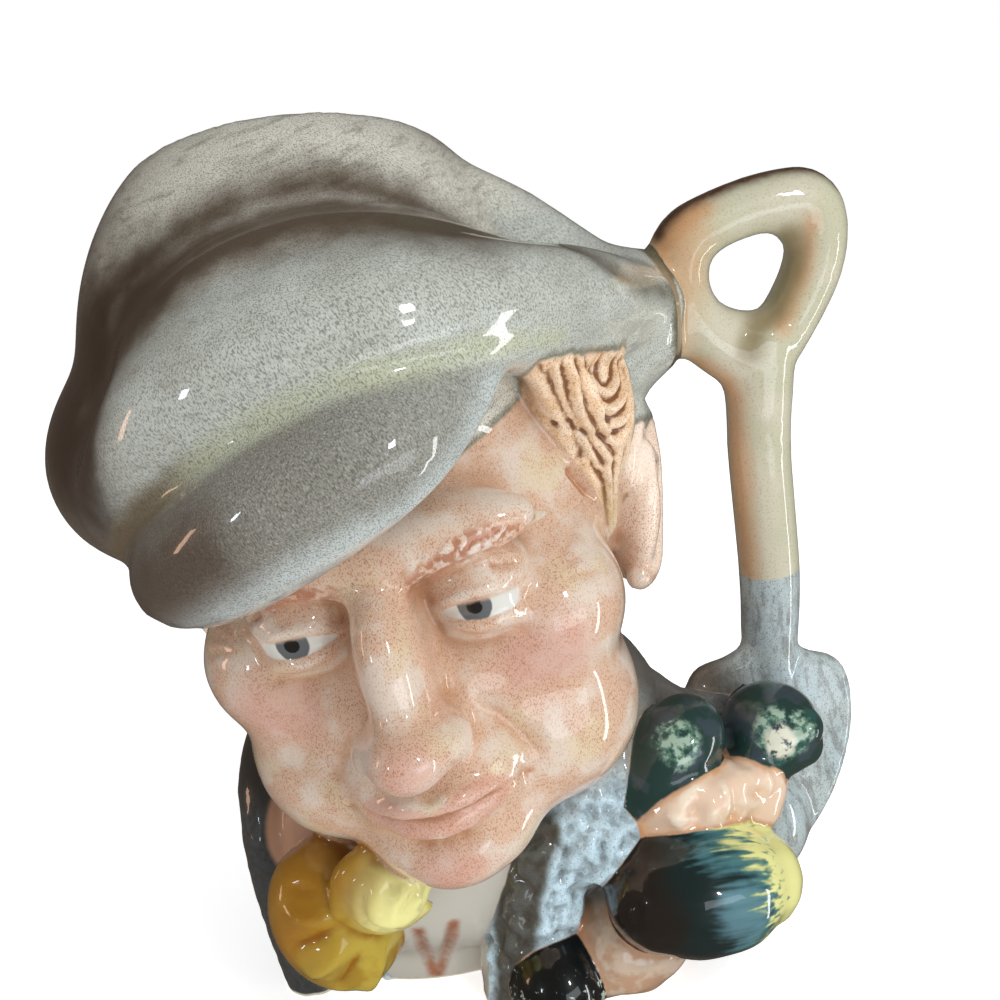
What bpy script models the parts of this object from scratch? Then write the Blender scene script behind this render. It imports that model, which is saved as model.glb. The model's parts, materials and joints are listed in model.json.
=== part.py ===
"""A glazed earthenware character jug: a gardener's head in a flat cap, with a spade for its handle.

The jug is slip-cast and fired as one hollow body, so the model is one closed solid named "jug". It stands
on a flat foot at z = 0 with the middle of the foot at the origin, faces -Y, and has its handle on +X.
Lengths in the tables are millimetres; the helpers turn them into metres.
"""

import math

import bmesh
import bpy
from mathutils import Euler, Matrix, Vector

MM = 0.001

# Driving dimensions, in millimetres and degrees.
WALL = 4.5                   # thickness of the cast wall
FLOOR = 7.0                  # thickness of the bottom
MOUTH_POINT = (0, -18, 195)  # a point on the plane that the mouth is trimmed to
MOUTH_SLOPE = 24             # how far the mouth falls towards the back
MOUTH_LEAN = 4.4             # how far it falls towards the handle
HEAD_CENTRE = (3, -2, 106)   # between the eyes' line and the back of the skull
HEAD_SCALE = 1.07            # the head's tables are drawn for a head this much smaller
HEAD_TURN = -13              # the face looks this far away from the handle
HEAD_LEAN = -5               # the crown leans this far away from the handle
SHAFT_RADIUS = 7.3
BLADE_THICKNESS = 6.0
CUTTER_SIZE = 300            # more than the jug measures, so a cut runs right through

# How finely the clay forms are fused, and how many triangles the finished solid keeps.
MASS_VOXEL = 2.0
MASS_SMOOTHING = 12
DETAIL_VOXEL = 1.4
DETAIL_SMOOTHING = 3
CAVITY_VOXEL = 3.0
CAVITY_SMOOTHING = 6
SOLID_TRIANGLES = 8200
CAVITY_TRIANGLES = 1100


def clear_scene():
    for thing in list(bpy.data.objects):
        bpy.data.objects.remove(thing, do_unlink=True)


def collection_named(name):
    made = bpy.data.collections.new(name)
    bpy.context.scene.collection.children.link(made)
    return made


def metres(point):
    return Vector(point) * MM


def head_frame():
    """Where the head's own axes stand: its face looks along the frame's -Y."""
    turn = Euler((0, math.radians(HEAD_LEAN), math.radians(HEAD_TURN)), "XYZ").to_matrix().to_4x4()
    return Matrix.Translation(metres(HEAD_CENTRE)) @ turn @ Matrix.Scale(HEAD_SCALE, 4)


def ball(forms, centre, radii, turn=(0, 0, 0), frame=None):
    """A ball stretched to three radii, turned by degrees about X, Y and Z, and added to the list of forms."""
    shape = bmesh.new()
    bmesh.ops.create_uvsphere(shape, u_segments=40, v_segments=24, radius=1)
    angles = Euler([math.radians(a) for a in turn], "XYZ").to_matrix().to_4x4()
    place = Matrix.Translation(metres(centre)) @ angles @ Matrix.Diagonal((*metres(radii), 1))
    bmesh.ops.transform(shape, matrix=(frame or Matrix.Identity(4)) @ place, verts=shape.verts)
    forms.append(shape)


def form_of_curve(curve, place):
    """The curve's bevelled surface as a closed form, with its caps welded on."""
    guide = bpy.data.objects.new("guide", curve)
    bpy.context.scene.collection.objects.link(guide)
    bpy.context.view_layer.update()
    mesh = bpy.data.meshes.new_from_object(guide.evaluated_get(bpy.context.evaluated_depsgraph_get()))
    shape = bmesh.new()
    shape.from_mesh(mesh)
    bmesh.ops.remove_doubles(shape, verts=shape.verts, dist=1e-6)
    bmesh.ops.transform(shape, matrix=place, verts=shape.verts)
    bmesh.ops.recalc_face_normals(shape, faces=shape.faces)
    bpy.data.objects.remove(guide)
    bpy.data.curves.remove(curve)
    bpy.data.meshes.remove(mesh)
    return shape


def rod(forms, stations, closed=False, frame=None):
    """A round bar through stations of (x, y, z, radius)."""
    curve = bpy.data.curves.new("rod", "CURVE")
    curve.dimensions = "3D"
    curve.bevel_depth = MM
    curve.bevel_resolution = 4
    curve.use_fill_caps = True
    spline = curve.splines.new("NURBS")
    spline.points.add(len(stations) - 1)
    for point, (x, y, z, radius) in zip(spline.points, stations):
        point.co = (*metres((x, y, z)), 1)
        point.radius = radius
    spline.order_u = 3
    spline.resolution_u = 6
    spline.use_endpoint_u = not closed
    spline.use_cyclic_u = closed
    forms.append(form_of_curve(curve, frame or Matrix.Identity(4)))


def plate(forms, outline, thickness, place):
    """A flat plate with rounded edges, from an outline in its own X-Z plane, put in place by a matrix."""
    curve = bpy.data.curves.new("plate", "CURVE")
    curve.dimensions = "2D"
    curve.fill_mode = "BOTH"
    curve.bevel_depth = thickness / 3 * MM
    curve.bevel_resolution = 2
    curve.offset = -thickness / 3 * MM
    curve.extrude = thickness / 6 * MM
    spline = curve.splines.new("NURBS")
    spline.points.add(len(outline) - 1)
    for point, (x, z) in zip(spline.points, outline):
        point.co = (x * MM, z * MM, 0, 1)
    spline.order_u = 3
    spline.resolution_u = 6
    spline.use_cyclic_u = True
    stand_up = Matrix.Rotation(math.radians(90), 4, "X")
    forms.append(form_of_curve(curve, place @ stand_up))


def object_of(name, forms, home):
    """One mesh object made of all the forms, which still overlap."""
    mesh = bpy.data.meshes.new(name)
    whole = bmesh.new()
    piece = bpy.data.meshes.new("piece")
    for shape in forms:
        shape.to_mesh(piece)
        whole.from_mesh(piece)
        shape.free()
    bpy.data.meshes.remove(piece)
    whole.to_mesh(mesh)
    whole.free()
    made = bpy.data.objects.new(name, mesh)
    home.objects.link(made)
    return made


def skull_and_neck(forms):
    """The hollow mass of the head: skull, jaw and the neck that runs down into the bust."""
    head = head_frame()
    ball(forms, (0, 3, 8), (45, 50, 46), frame=head)
    ball(forms, (0, -15, -21), (37, 37, 33), frame=head)
    ball(forms, (-2, 4, 60), (34, 33, 34))


def cap_crown(forms):
    """The domed crown of the cap and its soft overhang, which is widest on the side away from the handle."""
    ball(forms, (-10, 4, 143), (49.5, 53, 56))
    ball(forms, (-15, 0, 140), (56, 56, 31), turn=(4, -12, 0))
    ball(forms, (0, 4, 120), (47, 54, 24), turn=(0, -8, 0))


def cap_slopes(forms):
    """The cloth that falls from the crown: a ridge down to the sleeve, and a soft valley behind the front roll."""
    rod(forms, [(14, -4, 171, 14), (26, -5, 165.5, 12.5), (37, -6, 159, 11), (48, -6, 152.5, 8)])
    rod(forms, [
        (-38, -34, 154.5, 10), (-33, -37, 158.5, 11.5), (-25, -41, 163.5, 12), (-18, -43, 166, 12.5),
        (-4.5, -42, 166, 13.5), (9, -40, 162.5, 13.5), (20, -38, 157.5, 12.5), (32, -34, 151, 11),
    ])


def bust(forms):
    """The shoulders, cut off flat below to make the foot, and the chest, which hangs a little over it."""
    ball(forms, (-3, 6, 22), (45, 35, 46))
    ball(forms, (-8, -12, 37), (34, 27, 33))


def cap_front(forms):
    """The front of the cap: a swollen roll of cloth over the peak."""
    rod(forms, [
        (-56, -14, 130, 7), (-51, -33, 132.5, 10), (-38.5, -46, 147.5, 14), (-16, -53.5, 157.5, 16.3),
        (8, -53, 160, 13.8), (28, -43, 155.5, 12), (44, -26, 150, 11), (58, -10, 144, 9),
    ])


def cap_tail(forms):
    """The cloth gathered into a sleeve that holds the top of the spade."""
    rod(forms, [
        (28, 0, 139, 34), (41, -3, 140, 28), (52, -4, 140.5, 20), (58.5, -5, 141.5, 15), (64.5, -5, 142, 12.8),
    ])


def features(forms):
    """Calm, evenly proportioned masses of the face: cheeks, muzzle, chin, nose and brow."""
    head = head_frame()
    ball(forms, (0, -47, -32), (17, 10, 13), frame=head)
    ball(forms, (0, -45, -44), (17, 12, 12), frame=head)
    ball(forms, (0, -50, -46), (11, 7.5, 8), frame=head)
    ball(forms, (0, -52, -6), (6.5, 12, 17), turn=(-14, 0, 0), frame=head)
    ball(forms, (0, -63, -18), (7.5, 8, 6.5), frame=head)
    ball(forms, (0, -46, 13), (30, 9, 8), frame=head)
    for side in (-1, 1):
        ball(forms, (side * 7.5, -58, -19), (4.6, 6.5, 4.8), frame=head)
        ball(forms, (side * 24, -31, -10), (17, 17, 16), frame=head)
        ball(forms, (side * 18, -27, -32), (21, 22, 20), frame=head)


def peak(forms):
    """The stiff peak of the cap: a rounded plate bent round the brow, which dips away from the handle."""
    rod(forms, [
        (-46, -30, 115, 8), (-43, -45, 120, 11), (-30, -59, 130, 13.5), (-13, -64.5, 139, 13.5),
        (-2, -63.5, 143, 12), (7, -61, 146, 8), (14, -58, 148.5, 5), (20, -55, 150.5, 2.5),
    ])


def eyes_lips_and_ears(forms):
    """The smaller features, added once the masses of the head are smooth."""
    head = head_frame()
    rod(forms, [
        (-13, -51, -33.5, 1.5), (-6, -57.5, -31, 2.6), (0, -57.5, -32, 2.4), (6, -57.5, -31, 2.6),
        (13, -51, -33.5, 1.5),
    ], frame=head)
    rod(forms, [
        (-12, -51, -34.5, 1.5), (-5, -56.5, -36.5, 3), (5, -56.5, -36.5, 3), (12, -51, -34.5, 1.5),
    ], frame=head)
    for side in (-1, 1):
        ball(forms, (side * 16, -42, 0), (9.5, 9, 8), frame=head)
        rod(forms, [
            (side * 7, -50, 8, 2), (side * 16, -53, 11, 3.2), (side * 27, -45, 11, 3), (side * 33, -37, 8, 1.5),
        ], frame=head)
        ball(forms, (side * 44, 0, -7), (5, 11, 18), turn=(8, side * 12, side * 20), frame=head)
        rod(forms, [
            (side * 44, -10, 1, 2), (side * 47, -9, 11, 2.8), (side * 50, 4, 11.5, 2.8), (side * 50, 9, -3, 2.8),
            (side * 47, 4, -15, 3), (side * 44.5, -2, -22, 3.4), (side * 42.5, -7, -21, 3),
        ], frame=head)


def hair(forms):
    """A curl at the temple by the handle, the side locks and the mass at the nape."""
    ball(forms, (38, -27, 130), (11, 12, 16))
    ball(forms, (44, -14, 115), (6, 10, 13))
    rod(forms, [
        (27, -48, 148, 4), (32, -40, 140, 6.5), (35.5, -33.5, 129, 7), (38.5, -31, 117, 5), (40.5, -27, 104, 2.2),
    ])
    rod(forms, [(30, -46, 147, 4), (36, -37, 146, 5.5), (43, -30, 143, 5)])
    ball(forms, (0, 20, 88), (40, 32, 31))


def spade(forms):
    """The spade that serves as the handle: an open grip, a round shaft and a pointed blade."""
    rod(forms, [
        (69, -5, 155, 7), (79, -5, 158.5, 6.4), (90, -5, 160, 6.6), (100.5, -5, 159, 7), (100.5, -5, 146, 6.8),
        (93, -5, 134, 6.6), (84, -5, 124, 7), (74, -5, 132, 7), (67.5, -5, 143, 7),
    ], closed=True)
    rod(forms, [
        (86, -5, 134, 8), (84.5, -5, 122, 8), (83, -5, 108, SHAFT_RADIUS), (83, -5, 90, SHAFT_RADIUS),
        (83, -5, 72, SHAFT_RADIUS), (81.5, -5, 58, 7), (79, -7, 40, 6),
    ])
    rod(forms, [
        (64, -5, 137, 6.5), (69, -5, 136.5, 6.5), (76, -5, 134.3, 6.7), (82.2, -5, 128, 6.9), (84, -5, 118, 7.2),
        (83.2, -5, 104, SHAFT_RADIUS),
    ])
    outline = [
        (0, 15), (8, 6), (20, 4), (22, -14), (15, -34), (2, -47), (-14, -36), (-22, -14), (-21, 4), (-8, 6),
    ]
    lean = Euler((math.radians(-12), math.radians(9), 0), "XYZ").to_matrix().to_4x4()
    plate(forms, outline, BLADE_THICKNESS, Matrix.Translation(metres((79, -8, 48))) @ lean)


def dress(forms):
    """The neckerchief with its knot, and the two sides of the jacket."""
    ball(forms, (-20, -43.5, 43.5), (9, 9, 9.3), turn=(0, 30, 0))
    ball(forms, (-11, -39.5, 45), (7, 6, 5.5), turn=(0, -20, 0))
    ball(forms, (-32, -32, 31.5), (14, 13, 19), turn=(0, -14, 20))
    rod(forms, [(-38, 8, 62, 7), (-32, -24, 60, 8), (-14, -39, 56, 8), (10, -39, 56, 7), (30, -20, 60, 7)])
    rod(forms, [(-4, 34, 60, 7), (28, 24, 61, 8), (44, -2, 58, 9), (36, -26, 52, 10), (19, -32, 40, 10),
                (8.5, -33, 18, 10.5), (5, -32, -6, 10.5)])
    rod(forms, [(-4, 34, 60, 7), (-30, 24, 60, 8), (-41, 2, 54, 8), (-43, -10, 40, 8), (-43, -11, 20, 8),
                (-41, -10, -6, 8)])


def harvest(forms):
    """The vegetables heaped at the foot of the handle."""
    ball(forms, (40, -35, 44), (7, 7.5, 8))
    ball(forms, (47.5, -32, 51), (10.5, 10.5, 12), turn=(0, 22, 0))
    ball(forms, (72, -25, 45), (11.5, 12, 11))
    ball(forms, (77.5, -28, 42.5), (5.2, 7, 6))
    ball(forms, (27, -38, 36), (9, 7.5, 9))
    ball(forms, (49, -33, 38), (14, 11.5, 10.5), turn=(0, 16, 0))
    ball(forms, (61.5, -30, 34.5), (11, 10, 10))
    rod(forms, [
        (38, -38, 38, 3.2), (42.5, -38.5, 40, 5.6), (46, -38.5, 41, 6.0), (50, -38.5, 41.2, 7.2),
        (53.5, -38, 41, 6.2), (57.5, -37, 40.5, 6.8), (61, -36, 40, 5.8), (65, -34, 39, 5.2),
    ])
    ball(forms, (40.5, -45.2, 24.8), (16, 14.6, 14.4))
    rod(forms, [(36, -45, 25, 14), (42.5, -45.5, 24.5, 15), (48, -45, 23, 14.8), (54, -43.5, 21.5, 14), (60, -42, 19.5, 12)])
    ball(forms, (59, -42, 19.8), (11.5, 12, 12))
    ball(forms, (29, -36, 8.5), (15, 13, 12.5))
    ball(forms, (11.5, -40, 6), (10.5, 13, 12.3))
    ball(forms, (68, -16, 14), (15, 10, 16))


def vessel_forms():
    """The forms that the slip lines: their hollow is the inside of the jug."""
    forms = []
    skull_and_neck(forms)
    cap_crown(forms)
    bust(forms)
    return forms


def fuse(thing, voxel, smoothing):
    """Fuses a heap of overlapping forms into one skin and softens the creases where they meet."""
    remesh = thing.modifiers.new("Fuse", "REMESH")
    remesh.mode = "VOXEL"
    remesh.voxel_size = voxel * MM
    remesh.use_smooth_shade = True
    soften = thing.modifiers.new("Soften", "SMOOTH")
    soften.factor = 0.5
    soften.iterations = smoothing


def fused_form(forms, voxel, smoothing):
    """The forms fused now, as one form that finer ones can be added to."""
    thing = object_of("masses", forms, bpy.context.scene.collection)
    fuse(thing, voxel, smoothing)
    bpy.context.view_layer.update()
    mesh = bpy.data.meshes.new_from_object(thing.evaluated_get(bpy.context.evaluated_depsgraph_get()))
    shape = bmesh.new()
    shape.from_mesh(mesh)
    bpy.data.objects.remove(thing)
    bpy.data.meshes.remove(mesh)
    return shape


def thin_to(thing, triangles):
    """Keeps about this many triangles, whatever the fused mesh has."""
    graph = bpy.context.evaluated_depsgraph_get()
    graph.update()
    quads = len(thing.evaluated_get(graph).data.polygons)
    thin = thing.modifiers.new("Thin", "DECIMATE")
    thin.ratio = min(1.0, triangles / (2 * quads))


def cut(thing, cutter):
    difference = thing.modifiers.new("Cut " + cutter.name, "BOOLEAN")
    difference.operation = "DIFFERENCE"
    difference.solver = "EXACT"
    difference.object = cutter


def as_cutter(thing):
    thing.hide_render = True
    thing.display_type = "WIRE"


def block_cutter(name, face, slope, side, home):
    """A block with a face through the point, sloped by degrees about X and Y, lying above (1) or below (-1)."""
    shape = bmesh.new()
    bmesh.ops.create_cube(shape, size=CUTTER_SIZE * MM)
    tilt = Euler((math.radians(slope[0]), math.radians(slope[1]), 0), "XYZ").to_matrix().to_4x4()
    aside = Matrix.Translation(metres((0, 0, side * CUTTER_SIZE / 2)))
    bmesh.ops.transform(shape, matrix=Matrix.Translation(metres(face)) @ tilt @ aside, verts=shape.verts)
    made = object_of(name, [shape], home)
    as_cutter(made)
    return made


def cavity_cutter(home):
    """The inside of the jug: the vessel forms drawn in by the wall, on a flat floor."""
    made = object_of("cavity", vessel_forms(), home)
    fuse(made, CAVITY_VOXEL, CAVITY_SMOOTHING)
    shrink = made.modifiers.new("Wall", "DISPLACE")
    shrink.strength = -WALL * MM
    shrink.mid_level = 0
    fuse(made, CAVITY_VOXEL, 2)
    thin_to(made, CAVITY_TRIANGLES)
    cut(made, block_cutter("under_floor", (0, 0, FLOOR), (0, 0), -1, home))
    as_cutter(made)
    return made


def glaze():
    material = bpy.data.materials.new("glazed_earthenware")
    material.use_nodes = True
    shader = material.node_tree.nodes["Principled BSDF"]
    shader.inputs["Base Color"].default_value = (0.62, 0.52, 0.44, 1)
    shader.inputs["Roughness"].default_value = 0.15
    shader.inputs["Metallic"].default_value = 0.0
    return material


def main():
    clear_scene()
    jug_parts = collection_named("character_jug")
    cutters = collection_named("cutters")
    masses = vessel_forms()
    for section in (cap_slopes, cap_front, cap_tail, features):
        section(masses)
    forms = [fused_form(masses, MASS_VOXEL, MASS_SMOOTHING)]
    for section in (peak, eyes_lips_and_ears, hair, spade, dress, harvest):
        section(forms)
    jug = object_of("jug", forms, jug_parts)
    jug.data.materials.append(glaze())
    fuse(jug, DETAIL_VOXEL, DETAIL_SMOOTHING)
    thin_to(jug, SOLID_TRIANGLES)
    cut(jug, cavity_cutter(cutters))
    cut(jug, block_cutter("above_mouth", MOUTH_POINT, (-MOUTH_SLOPE, MOUTH_LEAN), 1, cutters))
    cut(jug, block_cutter("below_foot", (0, 0, 0), (0, 0), -1, cutters))


main()
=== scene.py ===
"""The looks of a glazed earthenware character jug: a gardener in a flat cap, with a spade for a handle.

The jug is one cast body, so it is one piece here. Each section below models and paints one part of it, and
the last sections fuse the clay, hollow it, glaze it and light it. Lengths are millimetres unless they say so.
"""

import json
import math

import bpy
import numpy as np
from mathutils import Euler, Matrix, Vector, noise
from mathutils.bvhtree import BVHTree

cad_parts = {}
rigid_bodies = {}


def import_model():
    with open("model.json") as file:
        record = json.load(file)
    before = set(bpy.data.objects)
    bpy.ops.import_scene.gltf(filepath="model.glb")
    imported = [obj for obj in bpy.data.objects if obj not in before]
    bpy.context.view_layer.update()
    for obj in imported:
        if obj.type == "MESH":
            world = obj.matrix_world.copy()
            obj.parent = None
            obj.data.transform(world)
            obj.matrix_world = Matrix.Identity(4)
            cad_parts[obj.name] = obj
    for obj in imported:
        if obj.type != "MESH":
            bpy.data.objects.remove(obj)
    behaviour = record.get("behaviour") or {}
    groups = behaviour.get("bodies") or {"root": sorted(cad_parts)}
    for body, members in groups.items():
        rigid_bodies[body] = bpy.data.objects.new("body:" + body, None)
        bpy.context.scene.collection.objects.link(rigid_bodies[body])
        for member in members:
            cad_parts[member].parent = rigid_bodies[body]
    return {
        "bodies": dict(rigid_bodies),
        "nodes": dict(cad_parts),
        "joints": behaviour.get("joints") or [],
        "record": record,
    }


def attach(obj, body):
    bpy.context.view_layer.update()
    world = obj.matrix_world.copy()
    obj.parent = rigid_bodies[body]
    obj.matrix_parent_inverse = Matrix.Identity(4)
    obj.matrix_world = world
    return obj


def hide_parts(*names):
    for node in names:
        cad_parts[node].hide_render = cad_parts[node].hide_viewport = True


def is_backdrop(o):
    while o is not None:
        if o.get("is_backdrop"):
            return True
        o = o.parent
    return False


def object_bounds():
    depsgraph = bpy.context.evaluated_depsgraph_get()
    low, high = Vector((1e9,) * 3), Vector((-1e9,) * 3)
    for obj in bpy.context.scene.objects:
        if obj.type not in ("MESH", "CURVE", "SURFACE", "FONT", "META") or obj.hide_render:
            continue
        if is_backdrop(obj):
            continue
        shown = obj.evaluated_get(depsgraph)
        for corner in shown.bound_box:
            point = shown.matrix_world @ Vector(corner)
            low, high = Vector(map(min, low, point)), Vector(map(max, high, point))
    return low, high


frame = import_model()
cad_low, cad_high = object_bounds()


# ---------------------------------------------------------------- the hollow body
# The vessel that holds the liquid: skull, neck, crown and bust. It is slip-cast in white earthenware from a
# mould of a clay model. Here lumps and rolls of clay are put together, and later fused and smoothed.

TALL = 194.8                        # from the foot to the highest point of the rim
mm = (cad_high.z - cad_low.z) / TALL
HEAD_CENTRE = (3, -2, 106)
HEAD_TURN = Euler((0, math.radians(-5), math.radians(-13)), "XYZ")
HEAD_SCALE = 1.07
head = Matrix.Translation(HEAD_CENTRE) @ HEAD_TURN.to_matrix().to_4x4() @ Matrix.Scale(HEAD_SCALE, 4)
world = Matrix.Identity(4)

heaps = {"base": [], "mass": [], "form": [], "fine": []}   # clay to be fused, the broad before the fine
coats = {}           # for each colour, functions that give a point's distance from it
body_forms = []      # the lumps that the slip lines, which shape the inside too


def pick(*things):
    """Selects these objects and nothing else, the first of them active."""
    bpy.ops.object.select_all(action="DESELECT")
    for thing in things:
        thing.select_set(True)
    bpy.context.view_layer.objects.active = things[0]


def near_ball(place):
    """How far points are from a stretched ball, below zero inside it."""
    back = np.array(place.inverted())
    centre = np.array(place.translation)

    def distance(points):
        local = np.linalg.norm(points @ back[:3, :3].T + back[:3, 3], axis=1) + 1e-9
        return (local - 1) * np.linalg.norm(points - centre, axis=1) / local

    return distance


def near_line(line):
    """How far points are from a roll whose middle and radius run along a line of (x, y, z, radius)."""

    def distance(points):
        nearest = np.full(len(points), 1e9)
        for x, y, z, radius in line:
            away = np.linalg.norm(points - (x, y, z), axis=1) - radius
            np.minimum(nearest, away, out=nearest)
        return nearest

    return distance


def ball_place(centre, radii, turn, frame):
    """The matrix that makes a unit ball into a lump: stretched, turned by degrees, and moved."""
    angles = Euler([math.radians(a) for a in turn], "XYZ").to_matrix().to_4x4()
    return frame @ Matrix.Translation(centre) @ angles @ Matrix.Diagonal((*radii, 1))


def lump(heap, coat, centre, radii, turn=(0, 0, 0), frame=world):
    """A lump of clay pressed onto a heap, and the colour that it is later painted."""
    place = ball_place(centre, radii, turn, frame)
    bpy.ops.mesh.primitive_uv_sphere_add(segments=32, ring_count=20, radius=1)
    made = bpy.context.object
    made.matrix_world = Matrix.Scale(mm, 4) @ place
    bpy.ops.object.transform_apply()
    heaps[heap].append(made)
    coats.setdefault(coat, []).append(near_ball(place))
    return made


def tint(coat, centre, radii, turn=(0, 0, 0), frame=world):
    """A patch of colour with no clay of its own: all that a stretched ball covers."""
    coats.setdefault(coat, []).append(near_ball(ball_place(centre, radii, turn, frame)))


def along(stations, closed=False, pieces=8):
    """Points on the smooth curve that the stations guide, which starts and ends on the outer two."""
    stations = np.array(stations, float)
    if closed:
        knees = stations
        starts = (np.roll(stations, 1, 0) + stations) / 2
        ends = (np.roll(stations, -1, 0) + stations) / 2
    else:
        knees = stations[1:-1]
        middles = (knees[:-1] + knees[1:]) / 2
        starts = np.vstack([stations[:1], middles])
        ends = np.vstack([middles, stations[-1:]])
    t = np.linspace(0, 1, pieces, endpoint=False)[:, None]
    line = [(1 - t) ** 2 * a + 2 * t * (1 - t) * knee + t ** 2 * b for a, knee, b in zip(starts, knees, ends)]
    return np.concatenate(line if closed else line + [stations[-1:]])


def placed(line, frame):
    """A line of (x, y, z, radius) taken out of a frame."""
    line = np.array(line, float)
    turn = np.array(frame)
    moved = line[:, :3] @ turn[:3, :3].T + turn[:3, 3]
    return np.hstack([moved, line[:, 3:] * frame.median_scale])


def rounded(line):
    """A line with its two ends drawn out into domes."""
    domes = []
    for end, inner in ((line[0], line[1]), (line[-1], line[-2])):
        out = (end[:3] - inner[:3]) / np.linalg.norm(end[:3] - inner[:3])
        turns = np.radians([25, 45, 62, 76, 86])
        domes.append([(*(end[:3] + out * end[3] * math.sin(a)), end[3] * math.cos(a)) for a in turns])
    return np.vstack([domes[0][::-1], line, domes[1]])


def before_end(distance, end, inner):
    """A distance that also grows past a roll's flat end."""
    out = (end[:3] - inner[:3]) / np.linalg.norm(end[:3] - inner[:3])
    return lambda points: np.maximum(distance(points), (points - end[:3]) @ out)


def formed(curve, line, closed):
    """The mesh that a bevelled curve makes along a line of (x, y, z, radius)."""
    spline = curve.splines.new("POLY")
    spline.points.add(len(line) - 1)
    for point, (x, y, z, radius) in zip(spline.points, line):
        point.co = (x, y, z, 1)
        point.radius = radius
    spline.use_cyclic_u = closed
    made = bpy.data.objects.new(curve.name, curve)
    bpy.context.scene.collection.objects.link(made)
    pick(made)
    bpy.ops.object.convert(target="MESH")
    return made


def roll(heap, coat, stations, closed=False, blunt=False, frame=world):
    """A roll of clay, and its colour, through stations of (x, y, z, radius), with domed or blunt ends."""
    line = placed(along(stations, closed), frame)
    distance = near_line(line)
    if blunt:
        distance = before_end(before_end(distance, line[0], line[1]), line[-1], line[-2])
    elif not closed:
        line = rounded(line)
    coats.setdefault(coat, []).append(distance)
    curve = bpy.data.curves.new("roll", "CURVE")
    curve.dimensions = "3D"
    curve.bevel_depth = mm
    curve.bevel_resolution = 4
    curve.use_fill_caps = True
    heaps[heap].append(formed(curve, [(x * mm, y * mm, z * mm, radius) for x, y, z, radius in line], closed))


body_forms += [
    lump("base", "skin", (0, 3, 8), (45, 50, 46), frame=head),
    lump("base", "skin", (0, -15, -21), (37, 37, 33), frame=head),
    lump("base", "skin", (-2, 4, 60), (34, 33, 34)),
    lump("base", "crown", (-10, 4, 143), (49.5, 53, 56)),
    lump("base", "crown", (-15, 0, 140), (56, 56, 31), turn=(4, -12, 0)),
    lump("base", "crown", (0, 4, 120), (47, 54, 24), turn=(0, -8, 0)),
    lump("base", "jacket", (-3, 6, 22), (45, 35, 46)),
    lump("base", "shirt", (-8, -12, 37), (34, 27, 33)),
]


# ---------------------------------------------------------------- the glaze
# Underglaze colours brushed on the biscuit, under one clear and very glossy glaze. The nodes are written as
# expressions: a Wire is one value of the shader, and a colour is brushed over what is there by a mask.

glaze = bpy.data.materials.new("painted_glaze")
glaze.use_nodes = True
shader = glaze.node_tree.nodes["Principled BSDF"]


class Wire:
    """One value in the glaze's nodes. An expression on wires adds the Math nodes that work it out."""

    def __init__(self, socket):
        self.socket = socket

    @staticmethod
    def node(kind, settings, sockets, out=0):
        """A node of a kind, with its settings, and values or wires for its sockets."""
        made = glaze.node_tree.nodes.new("ShaderNode" + kind)
        for name, value in settings.items():
            setattr(made, name, value)
        for name, value in sockets.items():
            if isinstance(value, Wire):
                glaze.node_tree.links.new(value.socket, made.inputs[name])
            else:
                made.inputs[name].default_value = value
        return Wire(made.outputs[out])

    def math(self, operation, *others):
        return Wire.node("Math", {"operation": operation}, dict(enumerate((self, *others))))

    def __add__(self, other):
        return self.math("ADD", other)

    __radd__ = __add__

    def __mul__(self, other):
        return self.math("MULTIPLY", other)

    __rmul__ = __mul__

    def __sub__(self, other):
        return self.math("SUBTRACT", other)

    def __rsub__(self, other):
        return Wire.node("Math", {"operation": "SUBTRACT"}, {0: other, 1: self})

    def step(self, low, high):
        """Rises smoothly from 0 at low to 1 at high. It falls if low is more than high."""
        settings = {"interpolation_type": "SMOOTHSTEP"}
        if low < high:
            return Wire.node("MapRange", settings, {"Value": self, "From Min": low, "From Max": high})
        return 1 - self.step(high, low)


place = Wire.node("TexCoord", {}, {}, out="Object")
place = Wire.node("VectorMath", {"operation": "SCALE"}, {0: place, "Scale": 1 / mm})


def axis(name):
    """How far along X, Y or Z a point is."""
    return Wire.node("SeparateXYZ", {}, {0: place}, out=name)


def speck(size, detail=2.0, rough=0.5, stretch=(1, 1, 1), turn=(0, 0, 0)):
    """Mottling from 0 to 1 whose marks are about this long, stretched along its own axes."""
    scale = [1 / (size * s) for s in stretch]
    turned = Wire.node("Mapping", {}, {"Vector": place, "Rotation": [math.radians(a) for a in turn]})
    where = Wire.node("VectorMath", {"operation": "MULTIPLY"}, {0: turned, 1: scale})
    sockets = {"Vector": where, "Scale": 1.0, "Detail": detail, "Roughness": rough}
    return Wire.node("TexNoise", {}, sockets)


kept_values = []                     # the names of the values kept on the mesh, three to an attribute


def value_of(name):
    """A value kept on the mesh, such as how far inside a colour a point is."""
    if name not in kept_values:
        kept_values.append(name)
    trio, third = divmod(kept_values.index(name), 3)
    three = Wire.node("Attribute", {"attribute_name": f"kept_{trio}"}, {}, out="Vector")
    return Wire.node("SeparateXYZ", {}, {0: three}, out="XYZ"[third])


def brush(under, over, amount):
    """A colour brushed over another."""
    return Wire.node("Mix", {"data_type": "RGBA"}, {0: amount, 6: colour(under), 7: colour(over)}, out=2)


def colour(value):
    """What a colour socket takes: a wire, or a colour with its alpha."""
    return value if isinstance(value, Wire) else (*value, 1)


def washed(ground, *washes):
    """A ground colour with washes of (colour, mask) brushed over it in turn."""
    for over, mask in washes:
        ground = brush(ground, over, mask)
    return ground


def patch(name, low, high, wavy=0.0, broken=0.0):
    """A mask that rises as a kept value goes from low to high, with an unsteady and a broken edge."""
    return (value_of(name) + wander * wavy + tremble * broken).step(low, high)


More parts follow.
